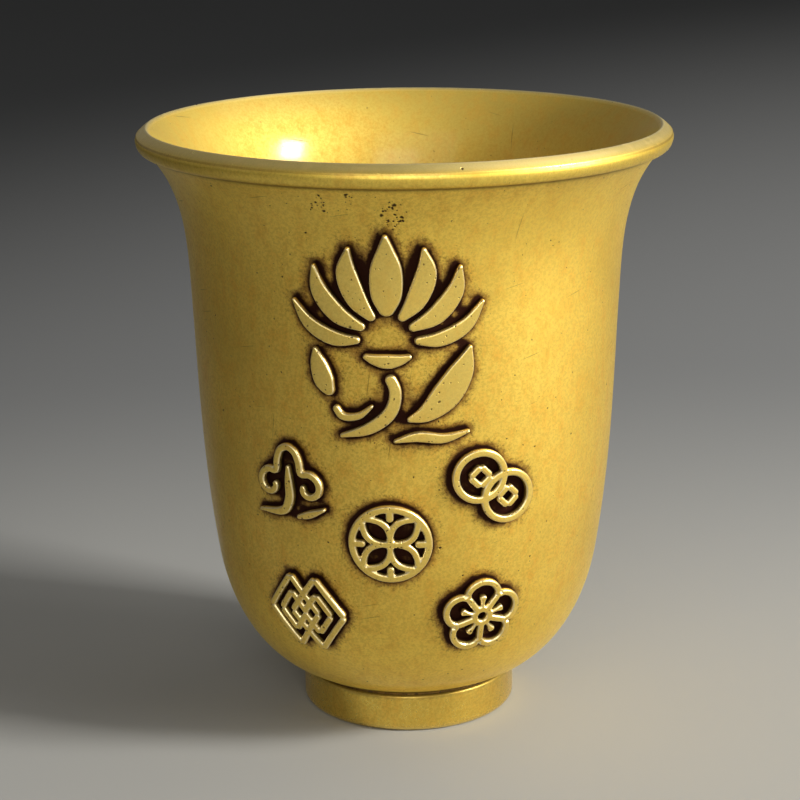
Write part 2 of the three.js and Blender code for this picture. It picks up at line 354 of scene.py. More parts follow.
class WallLine:
    """The wall's smooth outer line, looked up by height."""

    FINE_STEPS = 600

    def __init__(self, sizes: CupSizes) -> None:
        """Lays the line through the stations of the cup's sizes."""
        shares = np.linspace(0.0, 1.0, self.FINE_STEPS)
        pairs = zip(sizes.stations, sizes.stations[1:])
        stretches = [self._stretch(a, b, sizes.curve_reach, shares) for a, b in pairs]
        line = np.vstack([stretches[0], *(each[1:] for each in stretches[1:])])
        slope = np.gradient(line, axis=0)
        slope /= np.linalg.norm(slope, axis=1, keepdims=True)
        self.radii, self.heights = line.T
        self.outward = np.column_stack([slope[:, 1], -slope[:, 0]])
        self.lengths = lengths_along(line)

    @staticmethod
    def _stretch(start: Station, end: Station, reach: float, shares: Array) -> Array:
        """Gives the smooth line between two stations as rows of radius and height."""
        a = np.array([start.radius, start.height])
        d = np.array([end.radius, end.height])
        pull = reach * np.linalg.norm(d - a)
        leans = [math.radians(start.lean), math.radians(end.lean)]
        b = a + pull * np.array([math.sin(leans[0]), math.cos(leans[0])])
        c = d - pull * np.array([math.sin(leans[1]), math.cos(leans[1])])
        t = shares[:, None]
        return a * (1 - t) ** 3 + 3 * b * t * (1 - t) ** 2 + 3 * c * t * t * (1 - t) + d * t ** 3

    def at(self, heights: Array) -> tuple[Array, Array, Array]:
        """Gives the line's radius and its outward direction's radial and upward parts at each height."""
        return tuple(np.interp(heights, self.heights, values) for values in (self.radii, *self.outward.T))

    def spaced(self, breaks: tuple[Point, ...]) -> tuple[Array, Array]:
        """Gives points along the line at a spacing that changes with height.

        Args:
            breaks: Each the height up to which a spacing holds, and that spacing.

        Returns:
            Rows of radius and height, and rows of their outward directions.
        """
        places = [0.0]
        for height, step in breaks:
            end = float(np.interp(height, self.heights, self.lengths))
            count = max(1, round((end - places[-1]) / step))
            places.extend(np.linspace(places[-1], end, count + 1)[1:])
        found = looked_up(places, self.lengths, (self.radii, self.heights, *self.outward.T))
        return found[:, :2], found[:, 2:]


# Ornaments, drawn flat


@dataclass(frozen=True)
class Stroke:
    """A stroke of an ornament: the points of its middle line, each with the stroke's width there."""

    knots: tuple[Knot, ...]
    closed: bool = False
    knot_steps: int = 24
    cap_angles: tuple[float, float, int] = (12, 78, 5)
    nudge: float = 0.04

    def middle_line(self) -> Array:
        """Gives the smooth line through the knots as dense rows of x, y and width."""
        knots = np.array(self.knots, dtype=float)
        count = len(knots)
        if self.closed:
            padded = np.vstack([knots[-1], knots, knots[0], knots[1]])
        else:
            padded = np.vstack([2 * knots[0] - knots[1], knots, 2 * knots[-1] - knots[-2]])
        rows = []
        t = np.linspace(0.0, 1.0, self.knot_steps + 1)[:-1, None]
        for index in range(count if self.closed else count - 1):
            p0, p1, p2, p3 = padded[index : index + 4]
            gaps = ((p0, p1), (p1, p2), (p2, p3))
            d0, d1, d2 = (max(np.linalg.norm(b - a), SLIVER) ** 0.5 for a, b in gaps)
            m1 = ((p1 - p0) / d0 - (p2 - p0) / (d0 + d1) + (p2 - p1) / d1) * d1
            m2 = ((p2 - p1) / d1 - (p3 - p1) / (d1 + d2) + (p3 - p2) / d2) * d1
            rows.append(
                (2 * t ** 3 - 3 * t * t + 1) * p1 + (t ** 3 - 2 * t * t + t) * m1
                + (3 * t * t - 2 * t ** 3) * p2 + (t ** 3 - t * t) * m2
            )
        rows.append(knots[:1] if self.closed else knots[-1:])
        return np.vstack(rows)

    def sections(self, step: float) -> tuple[Array, Array, Array]:
        """Cuts the stroke across at even steps, with round ends on an open stroke.

        Args:
            step: About the distance between two sections.

        Returns:
            Rows of x and y on the middle line, rows of the direction across, and the half widths.
        """
        line = self.middle_line()
        places = lengths_along(line)
        length = places[-1]
        if self.closed:
            spots = np.linspace(0.0, length, math.ceil(length / step) + 1)[:-1]
            narrowing = np.ones(len(spots))
        else:
            first, last = line[0, 2] / 2, line[-1, 2] / 2
            inner = np.linspace(first, length - last, max(2, math.ceil((length - first - last) / step) + 1))
            turn = np.radians(np.linspace(*self.cap_angles))
            head, tail = first * (1 - np.cos(turn)), length - last * (1 - np.cos(turn))
            spots = np.concatenate([head, inner, tail[::-1]])
            narrowing = np.concatenate([np.sin(turn), np.ones(len(inner)), np.sin(turn)[::-1]])
        found = looked_up(spots, places, line.T)
        ahead = looked_up(spots + self.nudge, places, line.T[:2])
        along = ahead - looked_up(spots - self.nudge, places, line.T[:2])
        along /= np.linalg.norm(along, axis=1, keepdims=True)
        across = np.column_stack([-along[:, 1], along[:, 0]])
        return found[:, :2], across, found[:, 2] / 2 * narrowing

    def outline(self, step: float) -> list[Array]:
        """Gives the stroke's edge as one closed loop of points, or as two where the stroke is closed."""
        middle, across, half = self.sections(step)
        left, right = middle - across * half[:, None], middle + across * half[:, None]
        return [left, right] if self.closed else [np.vstack([left, right[::-1]])]


def mirrored(knots: tuple[Knot, ...]) -> tuple[Knot, ...]:
    """Gives a stroke's knots mirrored from left to right."""
    return tuple((-x, y, width) for x, y, width in knots)


def turned(degrees: float, knots: tuple[Knot, ...]) -> tuple[Knot, ...]:
    """Gives a stroke's knots turned about the ornament's middle."""
    cos, sin = math.cos(math.radians(degrees)), math.sin(math.radians(degrees))
    return tuple((x * cos - y * sin, x * sin + y * cos, width) for x, y, width in knots)


@dataclass(frozen=True)
class Field:
    """Where the ornaments sit on the front, in millimetres and degrees, and how wide their lines are."""

    azimuth: float = -4.5
    lotus_below_crest: float = 22.1
    upper_drop: float = 19.6
    middle_drop: float = 26.6
    lower_drop: float = 37.3
    upper_offset: float = 13.0
    lower_offset: float = 11.3
    fine: float = 0.85
    bold: float = 0.95


Strokes = dict[str, tuple[Stroke, ...]]


@dataclass(frozen=True)
class Ornament:
    """One raised ornament: its strokes by node, and its place on the front."""

    strokes: Strokes
    across: float = 0.0
    drop: float = 0.0

    def all_strokes(self) -> list[Stroke]:
        """Gives the strokes of all its nodes."""
        return [stroke for strokes in self.strokes.values() for stroke in strokes]


class OrnamentBook:
    """Draws the ornaments flat, with x to the right and y up from each one's middle."""

    LOTUS = {
        "lotus_middle_petal": ((0, 2.9, 1.2), (0, 5.4, 3.6), (0, 8.8, 3.7), (0, 11.4, 1.9), (0, 13.3, 0.4)),
        "lotus_calyx": (
            (-2.9, -2.1, 0.5), (-1.4, -2.6, 1.4), (0, -2.8, 1.8), (1.4, -2.6, 1.4), (2.9, -2.1, 0.5),
        ),
        "lotus_stem": (
            (0.1, -4.5, 1.3), (0.9, -6.6, 1.5), (0.3, -9.2, 1.7), (-2.2, -11.3, 1.5), (-6, -12.5, 0.5),
        ),
        "lotus_leaf": ((2.3, -10.3, 0.5), (4.6, -9.4, 2.2), (7, -7.2, 3.6), (8.9, -4.2, 3), (10, -1, 0.4)),
        "lotus_bud": ((-6.9, -7.3, 0.9), (-7.8, -5.6, 2.5), (-8.5, -3.4, 2.1), (-8.9, -1.3, 0.4)),
        "bud_stem": ((-6.6, -8.6, 0.9), (-5.6, -9.9, 1), (-3.6, -9.8, 0.9), (-1.8, -8.4, 0.4)),
        "water_ripple": ((0.6, -13, 0.4), (3.6, -12.4, 1.3), (6.8, -12.7, 1.2), (10, -11.9, 0.4)),
    }
    SIDE_PETALS = {
        "inner": ((1.5, 2.4, 0.9), (3.5, 5, 2.5), (4.6, 8.2, 2.5), (4.3, 11.6, 0.4)),
        "outer": ((2.6, 1.3, 0.9), (5.8, 3, 2.3), (8, 5.9, 2.1), (8.6, 9.2, 0.4)),
        "low": ((3.2, -0.2, 0.8), (6.4, 0, 1.9), (9.4, 1.6, 1.7), (11.5, 4.6, 0.4)),
    }

    def __init__(self, layout: Field) -> None:
        """Keeps the layout: where the ornaments sit, and their line widths."""
        self.layout = layout

    def ornaments(self) -> list[Ornament]:
        """Gives every ornament, from the top down."""
        layout = self.layout
        return [
            Ornament(self._lotus()),
            Ornament(self._ruyi(), -layout.upper_offset, layout.upper_drop),
            Ornament(self._coins(), layout.upper_offset, layout.upper_drop),
            Ornament(self._medallion(), 0.0, layout.middle_drop),
            Ornament(self._lozenges(), -layout.lower_offset, layout.lower_drop),
            Ornament(self._plum(), layout.lower_offset, layout.lower_drop),
        ]

    def _lotus(self) -> Strokes:
        """Draws the lotus in bloom with its stem, bud, leaf and water."""
        strokes = {name: (Stroke(knots),) for name, knots in self.LOTUS.items()}
        for name, knots in self.SIDE_PETALS.items():
            strokes[f"lotus_right_{name}_petal"] = (Stroke(knots),)
            strokes[f"lotus_left_{name}_petal"] = (Stroke(mirrored(knots)),)
        return strokes

    def _spiral(self, centre: Point, radii: Point, angles: Point, widths: Point) -> tuple[Knot, ...]:
        """Draws a spiral from its radius and width at one angle to those at another."""
        knots = []
        for share in np.linspace(0.0, 1.0, 12):
            radius, angle, width = (a + (b - a) * share for a, b in (radii, angles, widths))
            turn = math.radians(angle)
            knots.append((centre[0] + radius * math.cos(turn), centre[1] + radius * math.sin(turn), width))
        return tuple(knots)

    def _ruyi(self) -> Strokes:
        """Draws the ruyi cloud: a crown between two curls, over a tail and a wisp."""
        bold = self.layout.bold
        curl = self._spiral((-2.7, -0.4), (0.5, 2.05), (395, 65), (self.layout.fine, bold))
        side = (*curl, (-1.55, 3, bold), (-1, 4.3, bold))
        tail = ((0, 2.4, 0.5), (0, 0.2, 1.1), (0, -1.9, 1.3), (-0.9, -3.7, 1.2), (-4.9, -4.3, 0.4))
        wisp = ((0.9, -4.4, 0.5), (2.6, -3.9, 1), (4.9, -2.9, 0.4))
        return {
            "ruyi_crown": (Stroke((*side, (0, 4.8, bold), *mirrored(side)[::-1])),),
            "ruyi_tail": (Stroke(tail),),
            "ruyi_wisp": (Stroke(wisp),),
        }

    def _circle(self, centre: Point, radius: float, width: float) -> Stroke:
        """Draws a closed circle."""
        angles = np.linspace(0.0, 2 * math.pi, 25)[:-1]
        knots = ((centre[0] + radius * math.cos(a), centre[1] + radius * math.sin(a), width) for a in angles)
        return Stroke(tuple(knots), closed=True)

    def _diamond(self, centre: Point, reach: Point) -> tuple[Stroke, ...]:
        """Draws the four straight strokes of a diamond."""
        x, y = centre
        corners = [(x + reach[0], y), (x, y + reach[1]), (x - reach[0], y), (x, y - reach[1])]
        width = self.layout.fine
        ends = zip(corners, corners[1:] + corners[:1])
        return tuple(Stroke(((*start, width), (*end, width))) for start, end in ends)

    def _coins(self) -> Strokes:
        """Draws two linked coins, each a ring round a square hole."""
        centres = ((-1.85, 1.5), (1.85, -1.5))
        rings = tuple(self._circle(centre, 3.1, self.layout.bold) for centre in centres)
        holes = tuple(stroke for centre in centres for stroke in self._diamond(centre, (1.35, 1.35)))
        return {"linked_coins": rings + holes}

    def _petal(self, length: float, width: float) -> tuple[Knot, ...]:
        """Draws the loop of one petal, upright, with its root at the middle."""
        knots = []
        for share in np.linspace(0.0, 1.0, 17)[:-1]:
            upward = 1 - abs(2 * share - 1)
            half = width / 2 * math.sin(math.pi * upward) ** 0.85
            knots.append((half if share < 0.5 else -half, length * upward, self.layout.fine))
        return tuple(knots)

    def _medallion(self) -> Strokes:
        """Draws a ring round four petals, with a short stud between each two."""
        radius, petal_width, stud_start, bold = 4.7, 2.7, 3.0, self.layout.bold
        strokes = [self._circle((0, 0), radius, bold)]
        for angle in (0, 90, 180, 270):
            strokes.append(Stroke(turned(angle + 45, self._petal(radius, petal_width)), closed=True))
            strokes.append(Stroke(turned(angle, ((0, stud_start, bold), (0, radius, bold)))))
        return {"medallion": tuple(strokes)}

    def _lozenges(self) -> Strokes:
        """Draws two double diamonds that overlap at the middle."""
        shift, outer, inner = 1.7, (3.6, 5.0), (1.9, 2.7)
        diamonds = [self._diamond((x, 0), reach) for x in (-shift, shift) for reach in (outer, inner)]
        return {"linked_lozenges": tuple(stroke for diamond in diamonds for stroke in diamond)}

    def _plum(self) -> Strokes:
        """Draws a plum blossom: a lobed outline, a heart ring, stamens, and ribs between the petals."""
        petals, heart, notch, depth, fine = 5, 1.0, 3.4, 1.35, self.layout.fine
        stamen = ((0, heart, 0.45), (0, 1.9, 0.5), (0, 2.9, 1.2))
        outline = []
        for angle in np.linspace(0.0, 2 * math.pi, 61)[:-1]:
            radius = notch + depth * abs(math.cos(petals * angle / 2)) ** 0.75
            outline.append((-radius * math.sin(angle), radius * math.cos(angle), fine))
        strokes = [Stroke(tuple(outline), closed=True), self._circle((0, 0), heart, fine)]
        for index in range(petals):
            angle = 360 * index / petals
            strokes.append(Stroke(turned(angle + 180 / petals, ((0, heart, fine), (0, notch, fine)))))
            strokes.append(Stroke(turned(angle, stamen)))
        return {"plum_blossom": tuple(strokes)}


class OrnamentMap:
    """Distance to an ornament's edge, and which ground its metal shuts in, on a fine flat grid."""

    CELL = 0.1
    MARGIN = 3.4
    OUTLINE_STEP = 0.25

    def __init__(self, ornament: Ornament) -> None:
        """Measures an ornament."""
        outlines = [stroke.outline(self.OUTLINE_STEP) for stroke in ornament.all_strokes()]
        points = np.vstack([loop for loops in outlines for loop in loops])
        self.low = points.min(axis=0) - self.MARGIN
        counts = np.ceil((points.max(axis=0) + self.MARGIN - self.low) / self.CELL).astype(int) + 1
        self.xs = self.low[0] + self.CELL * np.arange(counts[0])
        self.ys = self.low[1] + self.CELL * np.arange(counts[1])
        self.distance = np.full((counts[1], counts[0]), self.MARGIN)
        for loops in outlines:
            self._measure(loops)
        self.shut_in = self._enclosed()

    def _measure(self, loops: list[Array]) -> None:
        """Lowers the stored distance to that of one stroke's edge, negative inside the stroke."""
        points = np.vstack(loops)
        reach = np.array([points.min(axis=0) - self.MARGIN, points.max(axis=0) + self.MARGIN])
        columns = slice(*np.searchsorted(self.xs, reach[:, 0]))
        rows = slice(*np.searchsorted(self.ys, reach[:, 1]))
        x, y = np.meshgrid(self.xs[columns], self.ys[rows])
        nearest = np.full(x.shape, math.inf)
        inside = np.zeros(x.shape, dtype=bool)
        for loop in loops:
            for (ax, ay), (bx, by) in zip(loop, np.roll(loop, -1, axis=0)):
                dx, dy = bx - ax, by - ay
                share = np.clip(((x - ax) * dx + (y - ay) * dy) / max(dx * dx + dy * dy, TINY), 0, 1)
                np.minimum(nearest, (x - ax - share * dx) ** 2 + (y - ay - share * dy) ** 2, out=nearest)
                if ay != by:
                    crosses = (y < ay) != (y < by)
                    inside ^= crosses & (x < ax + (y - ay) * dx / dy)
        signed = np.sqrt(nearest) * np.where(inside, -1, 1)
        np.minimum(self.distance[rows, columns], signed, out=self.distance[rows, columns])

    def _enclosed(self) -> Array:
        """Marks the ground that the ornament's lines shut in on all sides."""
        ground = self.distance > 0
        outside = np.zeros_like(ground)
        outside[0, :] = outside[-1, :] = outside[:, 0] = outside[:, -1] = True
        while True:
            grown = outside.copy()
            for axis in (0, 1):
                for shift in (-1, 1):
                    grown |= np.roll(outside, shift, axis=axis)
            grown &= ground
            grown |= outside
            if (grown == outside).all():
                return (ground & ~outside).astype(float)
            outside = grown

    def sample(self, grid: Array, x: Array, y: Array, away: float) -> Array:
        """Looks a grid up between its cells.

        Args:
            grid: The grid.
            x: Where to look, to the right.
            y: Where to look, up.
            away: The value outside the grid.

        Returns:
            The value at each place.
        """
        u, v = (x - self.low[0]) / self.CELL, (y - self.low[1]) / self.CELL
        valid = (u >= 0) & (v >= 0) & (u < len(self.xs) - 1) & (v < len(self.ys) - 1)
        u, v = np.where(valid, u, 0), np.where(valid, v, 0)
        i, j = u.astype(int), v.astype(int)
        u, v = u - i, v - j
        low = grid[j, i] * (1 - u) + grid[j, i + 1] * u
        high = grid[j + 1, i] * (1 - u) + grid[j + 1, i + 1] * u
        return np.where(valid, low * (1 - v) + high * v, away)


class FrontMap:
    """Places the flat ornaments on the curved front, and finds them again from there."""

    def __init__(self, sizes: CupSizes, wall: WallLine, layout: Field, ornaments: list[Ornament]) -> None:
        """Measures every ornament of a layout, for a cup's sizes and its wall's outer line."""
        self.wall = wall
        self.azimuth = math.radians(layout.azimuth)
        self.lotus_height = sizes.crest_height - layout.lotus_below_crest
        self.charts = [(each, OrnamentMap(each)) for each in ornaments]

    def _middle(self, ornament: Ornament) -> tuple[float, float]:
        """Gives the height of an ornament's middle and the wall's radius there."""
        height = self.lotus_height - ornament.drop
        return height, float(self.wall.at(np.array([height]))[0][0])

    def wrap(self, ornament: Ornament, flat: Array) -> Array:
        """Wraps a flat ornament's points onto the wall.

        Args:
            ornament: The ornament.
            flat: Rows of x to the right, y up and the rise off the wall.

        Returns:
            Rows of x, y and z on the cup.
        """
        middle_height, middle_radius = self._middle(ornament)
        radius, radial, upward = self.wall.at(middle_height + flat[:, 1])
        turn = self.azimuth + (ornament.across + flat[:, 0]) / middle_radius
        height = middle_height + flat[:, 1] + upward * flat[:, 2]
        return off_axis(turn, radius + radial * flat[:, 2], height)

    def read(self, places: Array, shift: Point = (0.0, 0.0)) -> tuple[Array, Array]:
        """Finds how far spots on the wall are from the ornaments.

        Args:
            places: Rows of x, y and z on the cup's outside.
            shift: How far to the right of each spot, and above it, to look instead.

        Returns:
            The distance to the nearest ornament's edge, and how far an ornament shuts each spot in.
        """
        turn = round_axis(places)[0] - self.azimuth
        distance = np.full(len(places), OrnamentMap.MARGIN)
        shut_in = np.zeros(len(places))
        for ornament, chart in self.charts:
            height, radius = self._middle(ornament)
            x, y = turn * radius - ornament.across + shift[0], places[:, 2] - height + shift[1]
            shut_in = np.maximum(shut_in, chart.sample(chart.shut_in, x, y, 0.0))
            distance = np.minimum(distance, chart.sample(chart.distance, x, y, OrnamentMap.MARGIN))
        return distance, shut_in


# Turned pieces


@dataclass
class CupBody:
    """The cast shell: bowl, flared wall, banded lip and the register under the floor.

    Each Point below is a width and a height, or where a fade starts and ends.
    """

    sizes: CupSizes
    wall: WallLine
    front: FrontMap
    azimuth: float
    half_sector: float = 41.0
    fine_steps: int = 164
    coarse_steps: int = 92
    outside_spacing: tuple[Point, ...] = ((9.0, 0.5), (13.5, 0.35), (73.0, 0.25), (77.0, 0.33))
    inside_spacing: tuple[Point, ...] = ((12.0, 1.0), (64.0, 1.6), (77.0, 0.8))
    register_shares: tuple[float, ...] = (0.0, 0.25, 0.5, 0.75, 0.93)
    register_corner: float = 0.18
    floor_shares: tuple[float, ...] = (0.75, 0.5, 0.25, 0.0)
    floor_dish: float = 2.4
    band_start: Point = (0.22, 0.07)
    band_angle: float = -84.0
    band_corner: float = 0.11
    bevel_bulge: float = 0.03
    inner_bevel: Point = (0.6, 0.52)
    crest_corner: float = 0.14
    lip_width: float = 1.9
    end_reach: float = 0.01
    wall_reach: float = 0.06
    inside_reach: float = 0.5
    over_seat: float = 1.0
    # Read this far to the right and up, the distance to the ornaments widens their dark rims on the left and
    # lower sides: painted shadow over the patina.
    painted_shadow_shift: Point = (0.2, 0.1)
    chase_depth: float = 0.1
    chase_fade: Point = (0.05, 0.8)
    swell: float = 0.03
    swell_fade: Knot = (1.0, 8.0, 5.0)
    waves: tuple[Knot, ...] = (
        (3, 0.11, 0.4), (5, 0.07, 2.1), (7, 0.16, 4.0), (11, 0.21, 1.3), (16, 0.13, 5.2),
    )
    # Darkening under the lip's band and in the corner over the foot: dirt and painted shade.
    band_grime_and_painted_shade: Knot = (0.2, 0.2, 1.0)
    foot_grime_and_painted_shade: Point = (0.4, 2.4)

    def _underside(self) -> list[Point]:
        """Gives the section of the register and the seat, from the axis outwards."""
        sizes = self.sizes
        register = sizes.seat_height - sizes.register_depth
        edge = sizes.foot_radius - sizes.foot_wall - sizes.braze_gap
        rim = sizes.foot_radius + sizes.base_overhang - sizes.base_chamfer
        flat = [(edge * share, register) for share in self.register_shares]
        rounded = corner((0, register), (edge, register), (edge, sizes.seat_height), self.register_corner)
        return [*flat, *rounded, (edge, sizes.seat_height), (rim, sizes.seat_height)]

    def _lip(self) -> list[Point]:
        """Gives the section of the lip, from its step out of the wall to its crest."""
        sizes = self.sizes
        radius, height = sizes.mouth_radius, sizes.lip_round_top
        flare = sizes.stations[-1]
        edge = (radius - sizes.lip_edge_setback, sizes.bevel_height)
        crest = (edge[0] - sizes.lip_bevel_width, sizes.crest_height)
        inner = (crest[0] - self.inner_bevel[0], crest[1] - self.inner_bevel[1])
        centre = (radius - sizes.lip_round_width, height)
        return [
            (flare.radius + self.band_start[0], flare.height + self.band_start[1]),
            *arc(centre, (sizes.lip_round_width, sizes.lip_round_height), self.band_angle, 0, 12),
            *corner((radius, height), edge, crest, self.band_corner),
            tuple((a + b) / 2 + self.bevel_bulge for a, b in zip(edge, crest)),
            *corner(edge, crest, inner, self.crest_corner),
            inner,
        ]

    def _section(self) -> list[Point]:
        """Gives the whole half section, from the underside's middle to the floor's."""
        sizes = self.sizes
        outside, _ = self.wall.spaced(self.outside_spacing)
        line, outward = self.wall.spaced(self.inside_spacing)
        inside = (line - outward * sizes.wall)[::-1]
        floor = sizes.seat_height - sizes.register_depth + sizes.floor
        radius, height = inside[-1]
        rise = height - floor
        dish = [(radius * share, floor + rise * share ** self.floor_dish) for share in self.floor_shares]
        return [*self._underside(), *map(tuple, outside), *self._lip(), *map(tuple, inside), *dish]

    def build(self, material: Material) -> None:
        """Turns the shell, chases the ground round the ornaments and dresses it.

        Args:
            material: The shell's finish.
        """
        sectors = [(2 * self.half_sector, self.fine_steps), (360 - 2 * self.half_sector, self.coarse_steps)]
        shell = spun("cup_shell", self._section(), sectors, self.azimuth - self.half_sector)
        places = vertex_array(shell)
        height = places[:, 2].copy()
        turn, radius = round_axis(places)
        wall_radius, radial, upward = self.wall.at(height)
        low, high = self.sizes.stations[0].height, self.sizes.stations[-1].height
        outer = (height >= low - self.end_reach) & (height <= high + self.end_reach)
        outer &= np.abs(radius - wall_radius) < self.wall_reach
        # This shifted distance carries the patina and a painted shadow on the ornaments' left and lower
        # sides.
        patina_distance, _ = self.front.read(places, self.painted_shadow_shift)
        distance, shut_in = self.front.read(places)
        distance, patina_distance = (
            np.where(outer, each, OrnamentMap.MARGIN) for each in (distance, patina_distance)
        )
        shut_in = np.where(outer, shut_in, 0.0)
        chased = np.maximum(1 - smooth_step(*self.chase_fade, distance), shut_in)
        start, end, top = self.swell_fade
        even = smooth_step(low + start, low + end, height) * smooth_step(high, high - top, height)
        move = np.where(outer, self._unevenness(turn, height) * even - self.chase_depth * chased, 0.0)
        set_vertices(shell, places + move[:, None] * off_axis(turn, radial, upward))
        set_attributes(
            shell, ornament_distance=distance, patina_distance=patina_distance, ornament_shut_in=shut_in,
            inside=self._inside(radius, height, outer, wall_radius), crevice=self._crevice(radius, height),
        )
        finish_piece(shell, material, Slot.CAST, "cup_body")

    def _unevenness(self, turn: Array, height: Array) -> Array:
        """Gives the slight waves that hand finishing leaves in the wall."""
        total = sum(np.sin(count * turn + rate * height + phase) for count, rate, phase in self.waves)
        return self.swell * total / len(self.waves)

    def _inside(self, radius: Array, height: Array, outer: Array, wall_radius: Array) -> Array:
        """Marks the vertices inside the cup, well within the wall's outer radius at their height."""
        inside = ~outer & (radius < wall_radius - self.inside_reach)
        inside &= height > self.sizes.seat_height + self.over_seat
        return (inside & (radius < self.sizes.mouth_radius - self.lip_width)).astype(float)

    def _crevice(self, radius: Array, height: Array) -> Array:
        """Marks dirt and painted shade under the lip's band and in the corner over the foot."""
        flare = self.sizes.stations[-1]
        out, *band_fade = self.band_grime_and_painted_shade
        step = np.hypot(radius - flare.radius - out, height - flare.height)
        foot = np.hypot(radius - self.sizes.foot_radius, height - self.sizes.seat_height)
        return np.maximum(1 - smooth_step(*band_fade, step), 1 - smooth_step(*self.foot_grime_and_painted_shade, foot))


@dataclass
class FootRing:
    """The foot ring, with its outer corners rounded and its sole worn."""

    sizes: CupSizes
    steps: int = 144
    sole_round: float = 0.75
    shoulder_round: float = 0.45
    bore_round: float = 0.2
    sole_start: float = 1.2
    rubbed_share: float = 0.3
    rubbed_fade: Point = (0.2, 0.75)
    grime_and_painted_shade_depth: Point = (1.0, 0.1)
    grime_and_painted_shade_edge: float = 0.6
    bore_depth: float = 0.6
    bore_grime_and_painted_shade: float = 0.7

    def build(self, material: Material) -> None:
        """Turns and dresses the ring."""
        radius, height = self.sizes.foot_radius, self.sizes.foot_height
        bore = radius - self.sizes.foot_wall
        sole, shoulder, edge = self.sole_round, self.shoulder_round, self.bore_round
        section = [
            (bore + edge, 0.0), (bore + self.sole_start, 0.0),
            *arc((radius - sole, sole), (sole, sole), -90, 0, 8),
            *((radius, y) for y in np.linspace(sole, height - shoulder, 9)[1:-1]),
            *arc((radius - shoulder, height - shoulder), (shoulder, shoulder), 0, 90, 6),
            (bore, height), (bore, height / 2),
            *arc((bore + edge, edge), (edge, edge), 180, 270, 4),
        ]
        ring = spun("foot_ring_turned", section, [(360.0, self.steps)], 0.0)
        places = vertex_array(ring)
        _, radii = round_axis(places)
        worn_in = sole * self.rubbed_share
        rubbed = np.hypot(radii - radius + worn_in, places[:, 2] - worn_in)
        # Darkening at the ring's top corner under the body and in the bore: dirt and painted shade.
        start, end = (height - depth for depth in self.grime_and_painted_shade_depth)
        grime_and_painted_shade = smooth_step(start, end, places[:, 2]) * smooth_step(bore, radius - self.grime_and_painted_shade_edge, radii)
        in_bore = self.bore_grime_and_painted_shade * smooth_step(bore + self.bore_depth, bore, radii)
        worn = 1 - smooth_step(*self.rubbed_fade, rubbed)
        set_attributes(ring, worn_edge=worn, crevice=np.maximum(grime_and_painted_shade, in_bore))
        finish_piece(ring, material, Slot.FOOT, "foot_ring")


@dataclass
class BrazeSeam:
    """The fillets of braze between the body and the foot ring, outside and in the recess."""

    sizes: CupSizes
    steps: int = 144
    bite: float = 0.02
    root: float = 0.75
    setback: float = 0.3
    bulge_middle: float = 0.12
    bulge: Point = (0.5, 0.27)
    bulge_angle: float = 35.0
    register_bite: float = 0.04
    fillet_corner: Point = (0.16, 0.17)
    fillet_start: float = 0.12
    fillet_top: float = 0.6

    def _outer(self) -> list[Point]:
        """Gives the section of the fillet that shows between the body and the ring."""
        foot, seat, radius = self.sizes.foot_height, self.sizes.seat_height, self.sizes.foot_radius
        back, edge = radius - self.root, radius - self.setback
        centre = (radius + self.bulge_middle, (foot + seat) / 2)
        return [
            (back, foot - self.bite), (edge, foot - self.bite),
            *arc(centre, self.bulge, 180 + self.bulge_angle, 180 - self.bulge_angle, 6),
            (edge, seat + self.bite), (back, seat + self.bite), (back, foot - self.bite),
        ]

    def _inner(self) -> list[Point]:
        """Gives the section of the fillet round the register, in the recess."""
        sizes = self.sizes
        bore = sizes.foot_radius - sizes.foot_wall + self.bite
        register = bore - sizes.braze_gap - self.register_bite
        low = sizes.seat_height - sizes.register_depth
        start, top = (register, low + self.fillet_start), low + self.fillet_top
        middle = (bore - self.fillet_corner[0], low + self.fillet_corner[1])
        return [start, middle, (bore, low + self.bite), (bore, top), (register, top), start]

    def build(self, material: Material) -> None:
        """Turns and dresses the two fillets."""
        for name, section in (("braze_seam_outer", self._outer()), ("braze_seam_inner", self._inner())):
            finish_piece(spun(name, section, [(360.0, self.steps)], 0.0), material, Slot.FOOT)


# Raised ornaments


